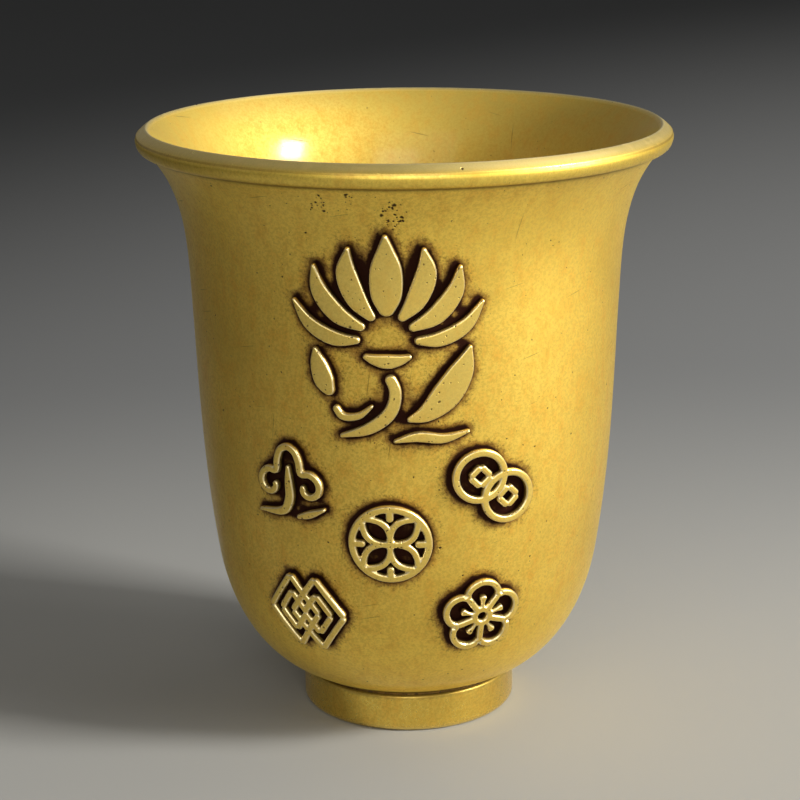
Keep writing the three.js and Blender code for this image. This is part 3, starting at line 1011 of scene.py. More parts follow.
@dataclass
class ReliefMaker:
    """Makes the raised ornaments: flat bars cut along their strokes, fused, rounded and wrapped on."""

    front: FrontMap
    top: float = 1.05
    sunk: float = 0.35
    edge_drop: float = 0.2
    edge_width: float = 0.2
    crown: float = 0.03
    crown_reach: float = 0.7
    step: float = 0.3
    voxel: float = 0.09
    smoothing: float = 0.5
    smoothing_rounds: int = 3

    def build(self, material: Material) -> None:
        """Makes and dresses every ornament's pieces."""
        for ornament, chart in self.front.charts:
            for node, strokes in ornament.strokes.items():
                piece = self._fused(node, strokes)
                self._rounded(piece, ornament, chart)
                finish_piece(piece, material, Slot.RELIEF, node)

    def _fused(self, node: str, strokes: tuple[Stroke, ...]) -> Piece:
        """Fuses the bars of a node's strokes into one flat piece."""
        bars = [self._bar(stroke) for stroke in strokes]
        clear_selection()
        for bar in bars:
            bar.select_set(True)
        piece = bars[0]
        bpy.context.view_layer.objects.active = piece
        if len(bars) > 1:
            bpy.ops.object.join()
        piece.name = f"{node}_relief"
        apply_modifier(piece, "REMESH", mode="VOXEL", voxel_size=self.voxel, adaptivity=0.0)
        apply_modifier(piece, "SMOOTH", factor=self.smoothing, iterations=self.smoothing_rounds)
        return piece

    def _rounded(self, piece: Piece, ornament: Ornament, chart: OrnamentMap) -> None:
        """Rounds a flat piece's upper edges by its ornament's chart, crowns its top and wraps it on."""
        flat = vertex_array(piece)
        depth = -chart.sample(chart.distance, flat[:, 0], flat[:, 1], 0.0)
        even_top = self.top - self.crown
        rounding = self.edge_drop * (1 - np.clip(depth / self.edge_width, 0.0, 1.0)) ** 2
        crown = self.crown * (1 - np.exp(-np.clip(depth, 0.0, None) / self.crown_reach))
        share = np.clip(flat[:, 2] / even_top, None, 1.0)
        flat[:, 2] = np.where(flat[:, 2] > 0, share * (even_top - rounding + crown), flat[:, 2])
        set_attributes(piece, edge_depth=depth, rise=flat[:, 2])
        set_vertices(piece, self.front.wrap(ornament, flat))

    def _bar(self, stroke: Stroke) -> Piece:
        """Cuts one stroke as a flat bar of even height, with x and y as in the drawing."""
        middle, across, half = stroke.sections(self.step)
        if stroke.closed:
            middle, across, half = (np.concatenate([each, each[:1]]) for each in (middle, across, half))
        last = len(middle) - 1
        clear_selection()
        bpy.ops.mesh.primitive_grid_add(x_subdivisions=1, y_subdivisions=last, size=2.0)
        bar = bpy.context.object
        places = vertex_array(bar)
        row = np.rint((places[:, 1] + 1) / 2 * last).astype(int)
        side = np.sign(places[:, 0])[:, None]
        places[:, :2] = middle[row] - side * across[row] * half[row][:, None]
        places[:, 2] = -self.sunk
        set_vertices(bar, places)
        open_mesh()
        bpy.ops.mesh.remove_doubles(threshold=SLIVER)
        rise = (0.0, 0.0, self.sunk + self.top - self.crown)
        bpy.ops.mesh.extrude_region_move(TRANSFORM_OT_translate={"value": rise})
        close_mesh()
        return bar


# Finishes


@dataclass(frozen=True)
class Patches:
    """A noise pattern, and from which of its values to which its patches fade in."""

    scale: float
    detail: float
    rough: float
    low: float
    high: float


@dataclass(frozen=True)
class Rim:
    """A ragged rim: how far out it is full, where it is gone, and how ragged it is."""

    full: float
    gone: float
    ragged: float


class Sheet:
    """Adds nodes to a material or a node group and links them."""

    def __init__(self, tree: NodeTree) -> None:
        """Starts on a node tree."""
        self.tree = tree

    def feed(self, socket: Socket, value: object) -> None:
        """Links a socket to another one, or sets its value."""
        if isinstance(value, Socket):
            self.tree.links.new(value, socket)
        else:
            socket.default_value = value

    def add(self, kind: str, feeds: Feeds | None = None, **settings: object) -> bpy.types.Node:
        """Adds a node to the tree.

        Args:
            kind: The node's type.
            feeds: What feeds its inputs, by the input's name or number.
            settings: Its properties by name.

        Returns:
            The node.
        """
        node = self.tree.nodes.new(kind)
        for name, value in settings.items():
            setattr(node, name, value)
        for key, value in (feeds or {}).items():
            self.feed(node.inputs[key], value)
        return node

    def math(self, operation: str, *values: object) -> Socket:
        """Adds a math node and gives its result."""
        return self.add("ShaderNodeMath", dict(enumerate(values)), operation=operation).outputs[0]

    def plus(self, *values: object) -> Socket:
        """Adds numbers up."""
        return reduce(partial(self.math, "ADD"), values)

    def minus(self, first: object, second: object) -> Socket:
        """Takes the second number from the first."""
        return self.math("SUBTRACT", first, second)

    def times(self, *values: object) -> Socket:
        """Multiplies numbers."""
        return reduce(partial(self.math, "MULTIPLY"), values)

    def most(self, *values: object) -> Socket:
        """Gives the highest of some numbers."""
        return reduce(partial(self.math, "MAXIMUM"), values)

    def vector(self, operation: str, *values: object) -> Socket:
        """Adds a vector math node and gives its result."""
        node = self.add("ShaderNodeVectorMath", dict(enumerate(values)), operation=operation)
        return node.outputs["Value" if operation == "DISTANCE" else "Vector"]

    def ramp(self, value: object, low: object, high: object) -> Socket:
        """Rises smoothly from 0, where the value is low, to 1, where it is high."""
        feeds = dict(enumerate((value, low, high, 0.0, 1.0)))
        return self.add("ShaderNodeMapRange", feeds, interpolation_type="SMOOTHSTEP").outputs[0]

    def mix(self, share: object, first: object, second: object) -> Socket:
        """Mixes two colours."""
        return self.add("ShaderNodeMix", {0: share, 6: first, 7: second}, data_type="RGBA").outputs[2]

    def blend(self, share: object, first: object, second: object) -> Socket:
        """Mixes two numbers."""
        return self.add("ShaderNodeMix", {0: share, 2: first, 3: second}, data_type="FLOAT").outputs[0]

    def noise(self, place: object, scale: float, detail: float, rough: float) -> Socket:
        """Adds a noise pattern and gives its value."""
        feeds = {"Vector": place, "Scale": scale, "Detail": detail, "Roughness": rough}
        return self.add("ShaderNodeTexNoise", feeds).outputs["Fac"]

    def patches(self, place: object, pattern: Patches) -> Socket:
        """Masks the patches where a noise pattern is high."""
        noise = self.noise(place, pattern.scale, pattern.detail, pattern.rough)
        return self.ramp(noise, pattern.low, pattern.high)

    def attribute(self, name: str) -> Socket:
        """Reads a number that the mesh stores for each vertex."""
        return self.add("ShaderNodeAttribute", attribute_type="GEOMETRY", attribute_name=name).outputs["Fac"]


class GroupSheet(Sheet):
    """A shader node group with named inputs and outputs."""

    KINDS = {"Place": "Vector", "Tone": "Color", "Warm": "Color", "Dull": "Color", "Colour": "Color"}

    def __init__(self, name: str, inputs: list[str], outputs: list[str]) -> None:
        """Makes the group.

        Args:
            name: The group's name.
            inputs: The names of its inputs, which are numbers where they aren't among the kinds.
            outputs: The names of its outputs.
        """
        super().__init__(bpy.data.node_groups.new(name, "ShaderNodeTree"))
        for way, names in (("INPUT", inputs), ("OUTPUT", outputs)):
            for each in names:
                kind = f"NodeSocket{self.KINDS.get(each, 'Float')}"
                self.tree.interface.new_socket(each, in_out=way, socket_type=kind)
        self.inputs = self.add("NodeGroupInput").outputs
        self.outputs = self.add("NodeGroupOutput").inputs

    def give(self, **results: Socket) -> NodeTree:
        """Feeds the group's outputs by name and gives the group."""
        for name, value in results.items():
            self.feed(self.outputs[name.capitalize()], value)
        return self.tree

    def unrolled(self) -> Socket:
        """Unrolls the Place input round the cup's axis, to a place with x to the right and z up."""
        x, y, z = self.add("ShaderNodeSeparateXYZ", {0: self.inputs["Place"]}).outputs
        turn = self.math("ARCTAN2", x, self.times(y, -1.0))
        feeds = {0: self.times(turn, UNROLLED_RADIUS), 1: 0.0, 2: z}
        return self.add("ShaderNodeCombineXYZ", feeds).outputs[0]

    def cells(self, place: object, scale: float) -> tuple[Socket, Socket, Socket]:
        """Scatters cells, and gives the distance to a cell's middle and two random numbers of the cell."""
        cells = self.add("ShaderNodeTexVoronoi", {"Vector": place, "Scale": scale}, feature="F1").outputs
        chance, size, _ = self.add("ShaderNodeSeparateColor", {0: cells["Color"]}).outputs
        return cells["Distance"], chance, size

    def spot(self, distance: Socket, chance: Socket, rare: object, spread: Socket, core: float) -> Socket:
        """Masks a spot in the middle of some cells.

        Args:
            distance: The distance to the cell's middle.
            chance: The cell's random number.
            rare: How high that number has to be for a spot.
            spread: The distance at which the spot ends.
            core: The share of that distance which is full.

        Returns:
            The mask.
        """
        chosen = self.math("GREATER_THAN", chance, rare)
        return self.times(self.ramp(self.math("DIVIDE", distance, spread), 1.0, core), chosen)


class Effects:
    """The effects that the brass finishes share, each a node group built once."""

    CLOUDS = Patches(0.07, 4.0, 0.55, 0.38, 0.7)
    FRECKLES = Patches(0.6, 6.0, 0.75, 0.42, 0.72)
    GRAIN = Patches(2.6, 3.0, 0.75, 0.4, 0.62)
    WORN = Patches(0.08, 2.0, 0.5, 0.42, 0.62)
    PITS = ((0.42, 0.1, 0.76, 1.2), (0.95, 0.17, 0.88, 2.2), (2.1, 0.24, 0.96, 2.2))
    SCRATCHES = ((12.0, (0.11, 1.0, 2.6), 0.88), (-8.0, (2.2, 1.0, 0.09), 0.9))

    def __init__(self) -> None:
        """Builds every group."""
        self.mottle = self._mottle()
        self.lines = self._lines()
        self.pits = self._pits()
        self.scratches = self._scratches()
        self.rim = self._rim()

    def _mottle(self) -> NodeTree:
        """Mixes three tones as old brass does, in clouds, freckles and grain, with its own roughness."""
        inputs = ["Place", "Tone", "Warm", "Dull", "Strength"]
        sheet = GroupSheet("brass_mottle", inputs, ["Colour", "Roughness"])
        place = sheet.inputs["Place"]
        clouds = sheet.patches(place, self.CLOUDS)
        freckles = sheet.patches(sheet.vector("MULTIPLY", place, (1.0, 1.0, 0.6)), self.FRECKLES)
        grain = sheet.patches(place, self.GRAIN)
        colour = sheet.inputs["Tone"]
        for mask, most, other in ((freckles, 0.7, "Warm"), (clouds, 0.3, "Dull"), (grain, 0.55, "Dull")):
            share = sheet.times(mask, most, sheet.inputs["Strength"])
            colour = sheet.mix(share, colour, sheet.inputs[other])
        uneven = sheet.minus(sheet.plus(freckles, grain), 1.0)
        return sheet.give(colour=colour, roughness=sheet.times(uneven, 0.06))

    def _lines(self) -> NodeTree:
        """Gives the height of polishing lines round the cup and up its side, and masks the upright ones."""
        sheet = GroupSheet("polish_lines", ["Place"], ["Height", "Upright"])
        flat = sheet.unrolled()
        level = sheet.noise(sheet.vector("MULTIPLY", flat, (0.08, 1.0, 2.6)), 1.0, 4.0, 0.65)
        upright = sheet.noise(sheet.vector("MULTIPLY", flat, (2.4, 1.0, 0.06)), 1.0, 4.0, 0.65)
        share = sheet.times(sheet.ramp(upright, 0.52, 0.72), sheet.patches(flat, self.WORN))
        height = sheet.minus(sheet.times(level, 0.6), sheet.times(share, 0.5))
        return sheet.give(height=height, upright=share)

    def _pits(self) -> NodeTree:
        """Masks the small dark pits of a casting, a few all over and more where they crowd."""
        sheet = GroupSheet("casting_pits", ["Place", "Crowd"], ["Mask"])
        place, crowd = sheet.inputs["Place"], sheet.inputs["Crowd"]
        wobble = sheet.add("ShaderNodeTexNoise", {"Vector": place, "Scale": 2.4}).outputs["Color"]
        bent = sheet.vector("ADD", place, sheet.vector("MULTIPLY", wobble, (0.35, 0.35, 0.35)))
        spots = []
        for scale, width, rare, swell in self.PITS:
            distance, chance, size = sheet.cells(bent, scale)
            swollen = sheet.blend(crowd, width, width * swell)
            spread = sheet.times(sheet.math("SQRT", size), swollen)
            spots.append(sheet.spot(distance, chance, sheet.blend(crowd, rare, 0.1), spread, 0.5))
        return sheet.give(mask=sheet.most(0.0, *spots))

    def _scratches(self) -> NodeTree:
        """Masks a few thin scratches, some near level and some near upright."""
        sheet = GroupSheet("thin_scratches", ["Place"], ["Mask"])
        flat = sheet.unrolled()
        spots = []
        for tilt, squeeze, rare in self.SCRATCHES:
            feeds = {"Vector": flat, "Angle": math.radians(tilt)}
            tilted = sheet.add("ShaderNodeVectorRotate", feeds, rotation_type="Y_AXIS").outputs[0]
            distance, chance, size = sheet.cells(sheet.vector("MULTIPLY", tilted, squeeze), 1.0)
            spots.append(sheet.spot(distance, chance, rare, sheet.times(size, 0.22), 0.4))
        return sheet.give(mask=sheet.most(0.0, *spots))

    def _rim(self) -> NodeTree:
        """Masks a ragged fall: full where a distance is short, and gone where it is long."""
        sheet = GroupSheet("ragged_rim", ["Place", "Distance", "Full", "Gone", "Ragged"], ["Mask"])
        place, distance, full, gone, ragged = sheet.inputs[:5]
        coarse = sheet.minus(sheet.noise(place, 0.9, 3.0, 0.6), 0.5)
        fine = sheet.minus(sheet.noise(place, 4.5, 2.0, 0.6), 0.5)
        shift = sheet.times(sheet.plus(sheet.times(coarse, 1.6), fine), ragged)
        return sheet.give(mask=sheet.ramp(sheet.plus(distance, shift), gone, full))


class BrassSheet(Sheet):
    """A brass material in the making: its shader, the shared effects, and its place in millimetres."""

    def __init__(self, name: str, effects: Effects, film: Point) -> None:
        """Starts a material.

        Args:
            name: The material's name.
            effects: The shared effects.
            film: Weight and roughness of the thin clear film that handling and wax leave.
        """
        self.material = bpy.data.materials.new(name)
        self.material.use_nodes = True
        super().__init__(self.material.node_tree)
        self.shader = self.tree.nodes["Principled BSDF"]
        self.effects = effects
        self.coat, coat_roughness = film
        self.shader.inputs["Coat Roughness"].default_value = coat_roughness
        where = self.add("ShaderNodeTexCoord").outputs["Object"]
        self.place = self.vector("MULTIPLY", where, (1 / MM,) * 3)

    def effect(self, tree: NodeTree, **values: object) -> bpy.types.bpy_prop_collection:
        """Places one of the shared effects, feeds its inputs by name and gives its outputs."""
        feeds = {"Place": self.place, **{name.capitalize(): value for name, value in values.items()}}
        return self.add("ShaderNodeGroup", feeds, node_tree=tree).outputs

    def ragged(self, distance: Socket, rim: Rim) -> Socket:
        """Masks a ragged rim by the distance from its edge."""
        tree = self.effects.rim
        return self.effect(tree, distance=distance, full=rim.full, gone=rim.gone, ragged=rim.ragged)["Mask"]

    def finish(
        self, colour: Socket, roughness: Socket, metallic: Socket, height: Socket, dark: Socket
    ) -> Material:
        """Feeds the shader and gives the material.

        Args:
            colour: Base colour.
            roughness: Roughness.
            metallic: How much of the surface is bare metal.
            height: The fine relief, in millimetres.
            dark: Where the patina, dirt, painted shade and painted shadow are, which have no film over them.

        Returns:
            The material.
        """
        bump = self.add("ShaderNodeBump", {"Strength": 1.0, "Distance": MM, "Height": height})
        film = self.blend(dark, self.coat, FILM_ON_PATINA * self.coat)
        feeds = {"Base Color": colour, "Roughness": roughness, "Metallic": metallic, "Coat Weight": film}
        for name, value in feeds.items():
            self.feed(self.shader.inputs[name], value)
        self.feed(self.shader.inputs["Normal"], bump.outputs["Normal"])
        return self.material


@dataclass(frozen=True, kw_only=True)
class Brass:
    """What every brass finish has: a main, a warmer and a duller tone, a roughness and a clear film.

    A strength is the share of a mask that counts. The film's numbers are its weight and roughness, and those
    of the metal are how metallic bare and dark spots are.
    """

    name: str
    tone: Colour
    warm: Colour
    dull: Colour
    roughness: float
    film: Point
    mottling: float = 0.8
    crowd: float = 0.0
    dark_roughness: float = 0.2
    metal: Point = (1.0, 0.9)

    def material(self, effects: Effects) -> Material:
        """Builds the material.

        Args:
            effects: The shared effects.

        Returns:
            The material.
        """
        return self.dressed(BrassSheet(self.name, effects, self.film))

    def dressed(self, sheet: BrassSheet) -> Material:
        """Lays the finish out on its sheet, each finish in its own way."""
        raise NotImplementedError

    def mottled(self, sheet: BrassSheet, strength: object, tone: object) -> tuple[Socket, Socket]:
        """Mottles the tones.

        Args:
            sheet: The material in the making.
            strength: How strong the mottling is.
            tone: The main tone.

        Returns:
            The colour, and how much rougher each spot is.
        """
        tones = {"tone": tone, "warm": self.warm, "dull": self.dull}
        mottle = sheet.effect(sheet.effects.mottle, **tones, strength=strength)
        return mottle["Colour"], mottle["Roughness"]


@dataclass(frozen=True, kw_only=True)
class CastBrass(Brass):
    """The shell's finish: satin yellow brass; a crest painted pale as wear and highlight, and the lip's
    sloped top band painted pale as highlight; a brighter tone painted as light on the lower bowl and the
    upper flare; patina round the ornaments, widened into painted shadow on their left and lower sides; and
    dirt with painted shade under the lip's band and over the foot.

    Each Point after the film is where a mask starts and where it is full: the painted light bands by height,
    the others by depth below the crest or by distance from an ornament.
    """

    crest_height: float
    name: str = "cast_brass_finish"
    tone: Colour = (0.86, 0.62, 0.11, 1.0)
    warm: Colour = (0.72, 0.385, 0.045, 1.0)
    dull: Colour = (0.55, 0.37, 0.05, 1.0)
    # A brighter tone painted as light on the lower bowl and the upper flare.
    painted_light_tone: Colour = (0.99, 0.73, 0.125, 1.0)
    inside_tone: Colour = (0.65, 0.505, 0.115, 1.0)
    # Near black: the patina, the painted shade under the lip's band and over the foot, and the painted
    # shadow beside the ornaments.
    patina: Colour = (0.034, 0.009, 0.004, 1.0)
    # Brown: stained halos round the ornaments, widened into painted shadow on their left and lower sides,
    # and a painted dark reflection line on the lip.
    stain_and_painted_shade: Colour = (0.22, 0.09, 0.015, 1.0)
    # Pale tone painted on the crest as wear and highlight, and on the lip's sloped top band as highlight.
    rubbed: Colour = (0.95, 0.82, 0.42, 1.0)
    roughness: float = 0.6
    inside_roughness: float = 0.75
    lip_roughness: float = 0.5
    film: Point = (0.4, 0.16)
    # Heights between which the painted light fades in, low and high.
    painted_light_bands: tuple[Point, ...] = ((26.0, 12.0), (60.0, 80.0))
    painted_light_mottle: float = 0.6
    inside_mottle: float = 0.45
    lip: Point = (3.2, 2.4)
    # Painted highlight, with wear, along the crest, and painted highlight on the outer sloped top band.
    crest: Point = (0.3, 0.1)
    crest_highlight_strength: float = 0.8
    bevel_highlight: Point = (1.3, 0.4)
    bevel_highlight_strength: float = 0.5
    # A thin dark line painted where the lip's sloped top band meets its rounded band: a painted dark
    # reflection.
    dark_reflection_depth: float = 1.15
    dark_reflection_line: Point = (0.2, 0.06)
    dark_reflection_strength: float = 0.4
    clusters: tuple[tuple[float, ...], ...] = (
        (-10.2, -30.0, 74.6, 1.3), (-6.5, -31.8, 75.7, 0.8), (-1.5, -31.1, 73.8, 1.8),
    )
    cluster_stretch: Knot = (1.0, 1.0, 0.55)
    cluster_fade: Point = (1.3, 0.6)
    inside_pits: float = 0.3
    # Dark rims round the ornaments: patina, read from the shifted distance, so that it also paints shadow on
    # their left and lower sides.
    close: Rim = Rim(0.32, 0.72, 0.3)
    fringe: Rim = Rim(0.5, 1.3, 0.7)
    fringe_strength: float = 0.75
    wide: Rim = Rim(0.4, 2.2, 1.6)
    wide_strength: float = 0.14
    specks: Patches = Patches(2.6, 3.0, 0.7, 0.5, 0.66)
    speck_strength: float = 0.5
    crevice_strength: float = 0.8
    pit_strength: float = 0.95
    scratch_strength: float = 0.4
    line_strength: float = 0.12
    enclosed: Point = (1.7, 0.7)
    pit_depth: float = 0.06
    dark_depth: float = 0.01
    line_depth: float = 0.006
    inside_line_depth: float = 0.003

    def dressed(self, sheet: BrassSheet) -> Material:
        """Lays the finish out on its sheet and gives the material."""
        inside = sheet.attribute("inside")
        up = sheet.add("ShaderNodeSeparateXYZ", {0: sheet.place}).outputs["Z"]
        below = sheet.minus(self.crest_height, up)
        # Painted light: a brighter tone on the lower bowl and the upper flare, with less mottling.
        painted_light_bands = sheet.most(*(sheet.ramp(up, *fade) for fade in self.painted_light_bands))
        tone = sheet.mix(inside, sheet.mix(painted_light_bands, self.tone, self.painted_light_tone), self.inside_tone)
        strength = sheet.blend(inside, sheet.blend(painted_light_bands, 1.0, self.painted_light_mottle), self.inside_mottle)
        mottle, uneven = self.mottled(sheet, strength, tone)
        lines = sheet.effect(sheet.effects.lines)
        pits = sheet.effect(sheet.effects.pits, crowd=self._crowd(sheet))["Mask"]
        pits = sheet.times(pits, sheet.blend(inside, 1.0, self.inside_pits))
        wide = sheet.ragged(sheet.attribute("patina_distance"), self.wide)
        dark = self._darkened(sheet, wide, pits)
        # Painted highlight on the crest, with its wear, and on the lip's outer sloped top band.
        crest = sheet.times(sheet.ramp(below, *self.crest), self.crest_highlight_strength)
        bevel_highlight = sheet.times(sheet.ramp(below, *self.bevel_highlight), sheet.blend(inside, self.bevel_highlight_strength, 0.0))
        colour = sheet.mix(sheet.most(crest, bevel_highlight), mottle, self.rubbed)
        fringe = sheet.ragged(sheet.attribute("patina_distance"), self.fringe)
        # Painted dark reflection: a thin dark line at the lower edge of the lip's sloped top band.
        from_dark_reflection = sheet.math("ABSOLUTE", sheet.minus(below, self.dark_reflection_depth))
        dark_reflection_share = sheet.blend(inside, self.dark_reflection_strength, 0.0)
        # Brown halos round the ornaments, partly painted shadow, and the painted dark reflection line on the
        # lip.
        for mask, strength in (
            (wide, self.wide_strength),
            (fringe, self.fringe_strength),
            (sheet.ramp(from_dark_reflection, *self.dark_reflection_line), dark_reflection_share),
        ):
            colour = sheet.mix(sheet.times(mask, strength), colour, self.stain_and_painted_shade)
        colour = sheet.mix(sheet.times(lines["Upright"], self.line_strength), colour, self.warm)
        colour = sheet.mix(dark, colour, self.patina)
        outside = sheet.blend(sheet.ramp(below, *self.lip), self.roughness, self.lip_roughness)
        base = sheet.blend(inside, outside, self.inside_roughness)
        rough = sheet.plus(base, uneven, sheet.times(dark, self.dark_roughness))
        depth = sheet.plus(sheet.times(pits, self.pit_depth), sheet.times(dark, self.dark_depth))
        fine = sheet.times(lines["Height"], sheet.blend(inside, self.line_depth, self.inside_line_depth))
        return sheet.finish(colour, rough, sheet.blend(dark, *self.metal), sheet.minus(fine, depth), dark)

    def _crowd(self, sheet: BrassSheet) -> Socket:
        """Masks the clusters under the lip, where pits crowd."""
        start, full = self.cluster_fade
        near = []
        for *middle, reach in self.clusters:
            centre = tuple(a * b for a, b in zip(middle, self.cluster_stretch))
            stretched = sheet.vector("MULTIPLY", sheet.place, self.cluster_stretch)
            away = sheet.vector("DISTANCE", stretched, centre)
            near.append(sheet.ramp(away, reach * start, reach * full))
        return sheet.most(0.0, *near)

    def _darkened(self, sheet: BrassSheet, wide: Socket, pits: Socket) -> Socket:
        """Masks the dark patina, dirt, painted shade and painted shadow, with the masks of the wide rims and
        of the pits.
        """
        # Patina round the ornaments, widened into painted shadow on their left and lower sides.
        close = sheet.ragged(sheet.attribute("patina_distance"), self.close)
        specks = sheet.times(wide, sheet.patches(sheet.place, self.specks), self.speck_strength)
        narrow = sheet.ramp(sheet.attribute("ornament_distance"), *self.enclosed)
        enclosed = sheet.times(sheet.attribute("ornament_shut_in"), narrow)
        # Dirt and painted shade under the lip's band and in the corner over the foot.
        crevice = sheet.times(sheet.attribute("crevice"), self.crevice_strength)
        scratches = sheet.times(sheet.effect(sheet.effects.scratches)["Mask"], self.scratch_strength)
        pits = sheet.times(pits, self.pit_strength)
        return sheet.most(close, enclosed, specks, crevice, pits, scratches)


@dataclass(frozen=True, kw_only=True)
class FootBrass(Brass):
    """The foot ring's finish: brighter than the shell, rubbed at its edge, and darkened in its corners with
    dirt and painted shade.
    """

    name: str = "foot_brass_finish"
    tone: Colour = (0.97, 0.70, 0.13, 1.0)
    warm: Colour = (0.84, 0.46, 0.05, 1.0)
    dull: Colour = (0.58, 0.37, 0.045, 1.0)
    rubbed: Colour = (0.92, 0.72, 0.24, 1.0)
    # Near black, for the dirt and painted shade in the corners and for the pits.
    patina: Colour = (0.035, 0.014, 0.005, 1.0)
    roughness: float = 0.33
    film: Point = (0.4, 0.2)
    dark_roughness: float = 0.25
    metal: Point = (1.0, 0.6)
    rubbed_gloss: float = 0.1
    rubbed_strength: float = 0.6
    grime_and_painted_shade: Rim = Rim(0.1, 0.8, 0.5)
    grime_and_painted_shade_strength: float = 0.5
    line_depth: float = 0.007
    pit_depth: float = 0.05

    def dressed(self, sheet: BrassSheet) -> Material:
        """Lays the finish out on its sheet and gives the material."""
        mottle, uneven = self.mottled(sheet, self.mottling, self.tone)
        pits = sheet.effect(sheet.effects.pits, crowd=self.crowd)["Mask"]
        worn = sheet.attribute("worn_edge")
        # Dirt and painted shade at the top corner under the body and in the bore.
        grime_and_painted_shade = sheet.ragged(sheet.minus(1.0, sheet.attribute("crevice")), self.grime_and_painted_shade)
        dark = sheet.most(sheet.times(grime_and_painted_shade, self.grime_and_painted_shade_strength), pits)
        bright = sheet.mix(sheet.times(worn, self.rubbed_strength), mottle, self.rubbed)
        base = sheet.blend(worn, self.roughness, self.roughness - self.rubbed_gloss)
        rough = sheet.plus(base, uneven, sheet.times(dark, self.dark_roughness))
        fine = sheet.times(sheet.effect(sheet.effects.lines)["Height"], self.line_depth)
        height = sheet.minus(fine, sheet.times(pits, self.pit_depth))
        colour = sheet.mix(dark, bright, self.patina)
        return sheet.finish(colour, rough, sheet.blend(dark, *self.metal), height, dark)


@dataclass(frozen=True, kw_only=True)
class SeamBraze(Brass):
    """The braze's finish: dull, dark and pitted."""

    name: str = "seam_braze_finish"
    tone: Colour = (0.26, 0.15, 0.03, 1.0)
    warm: Colour = (0.16, 0.08, 0.015, 1.0)
    dull: Colour = (0.05, 0.028, 0.01, 1.0)
    roughness: float = 0.55
    film: Point = (0.05, 0.4)
    mottling: float = 1.0
    crowd: float = 1.0
    metal: Point = (0.85, 0.5)
    pit_strength: float = 0.8
    pit_depth: float = 0.05

    def dressed(self, sheet: BrassSheet) -> Material:
        """Lays the finish out on its sheet and gives the material."""
        mottle, uneven = self.mottled(sheet, self.mottling, self.tone)
        pits = sheet.effect(sheet.effects.pits, crowd=self.crowd)["Mask"]
        colour = sheet.mix(sheet.times(pits, self.pit_strength), mottle, self.dull)
        height = sheet.times(pits, -self.pit_depth)
        rough = sheet.plus(uneven, self.roughness)
        return sheet.finish(colour, rough, sheet.blend(pits, *self.metal), height, pits)


@dataclass(frozen=True, kw_only=True)
class ReliefBrass(Brass):
    """The ornaments' finish: satin tops, thin pale rims painted as wear and highlight, and sides that darken
    towards the ground.
    """

    name: str = "relief_brass_finish"
    tone: Colour = (0.95, 0.71, 0.17, 1.0)
    warm: Colour = (0.80, 0.49, 0.08, 1.0)
    dull: Colour = (0.70, 0.50, 0.10, 1.0)
    # Pale tone of the top rims: wear and painted highlight.
    rubbed: Colour = (0.95, 0.80, 0.42, 1.0)
    patina: Colour = (0.034, 0.009, 0.004, 1.0)
    roughness: float = 0.5
    film: Point = (0.4, 0.18)
    rubbed_gloss: float = 0.1
    crowd: float = 0.3
    pit_strength: float = 0.8
    # Where the pale rims sit, by rise and by depth within the edge: wear and painted highlight.
    top: Point = (0.66, 0.78)
    rim: Point = (0.2, 0.12)
    side: Rim = Rim(0.35, 0.75, 0.25)
    grain_depth: float = 0.006
    pit_depth: float = 0.04

    def dressed(self, sheet: BrassSheet) -> Material:
        """Lays the finish out on its sheet and gives the material."""
        mottle, uneven = self.mottled(sheet, self.mottling, self.tone)
        pits = sheet.effect(sheet.effects.pits, crowd=self.crowd)["Mask"]
        rise = sheet.attribute("rise")
        # Wear and painted highlight along the top edges.
        rim = sheet.times(sheet.ramp(rise, *self.top), sheet.ramp(sheet.attribute("edge_depth"), *self.rim))
        dark = sheet.most(sheet.ragged(rise, self.side), sheet.times(pits, self.pit_strength))
        colour = sheet.mix(dark, sheet.mix(rim, mottle, self.rubbed), self.patina)
        base = sheet.blend(rim, self.roughness, self.roughness - self.rubbed_gloss)
        rough = sheet.plus(base, uneven, sheet.times(dark, self.dark_roughness))
        grain = sheet.times(sheet.noise(sheet.place, 3.5, 2.0, 0.6), self.grain_depth)
        height = sheet.minus(grain, sheet.times(pits, self.pit_depth))
        return sheet.finish(colour, rough, sheet.blend(dark, *self.metal), height, dark)


# Stage, light and camera


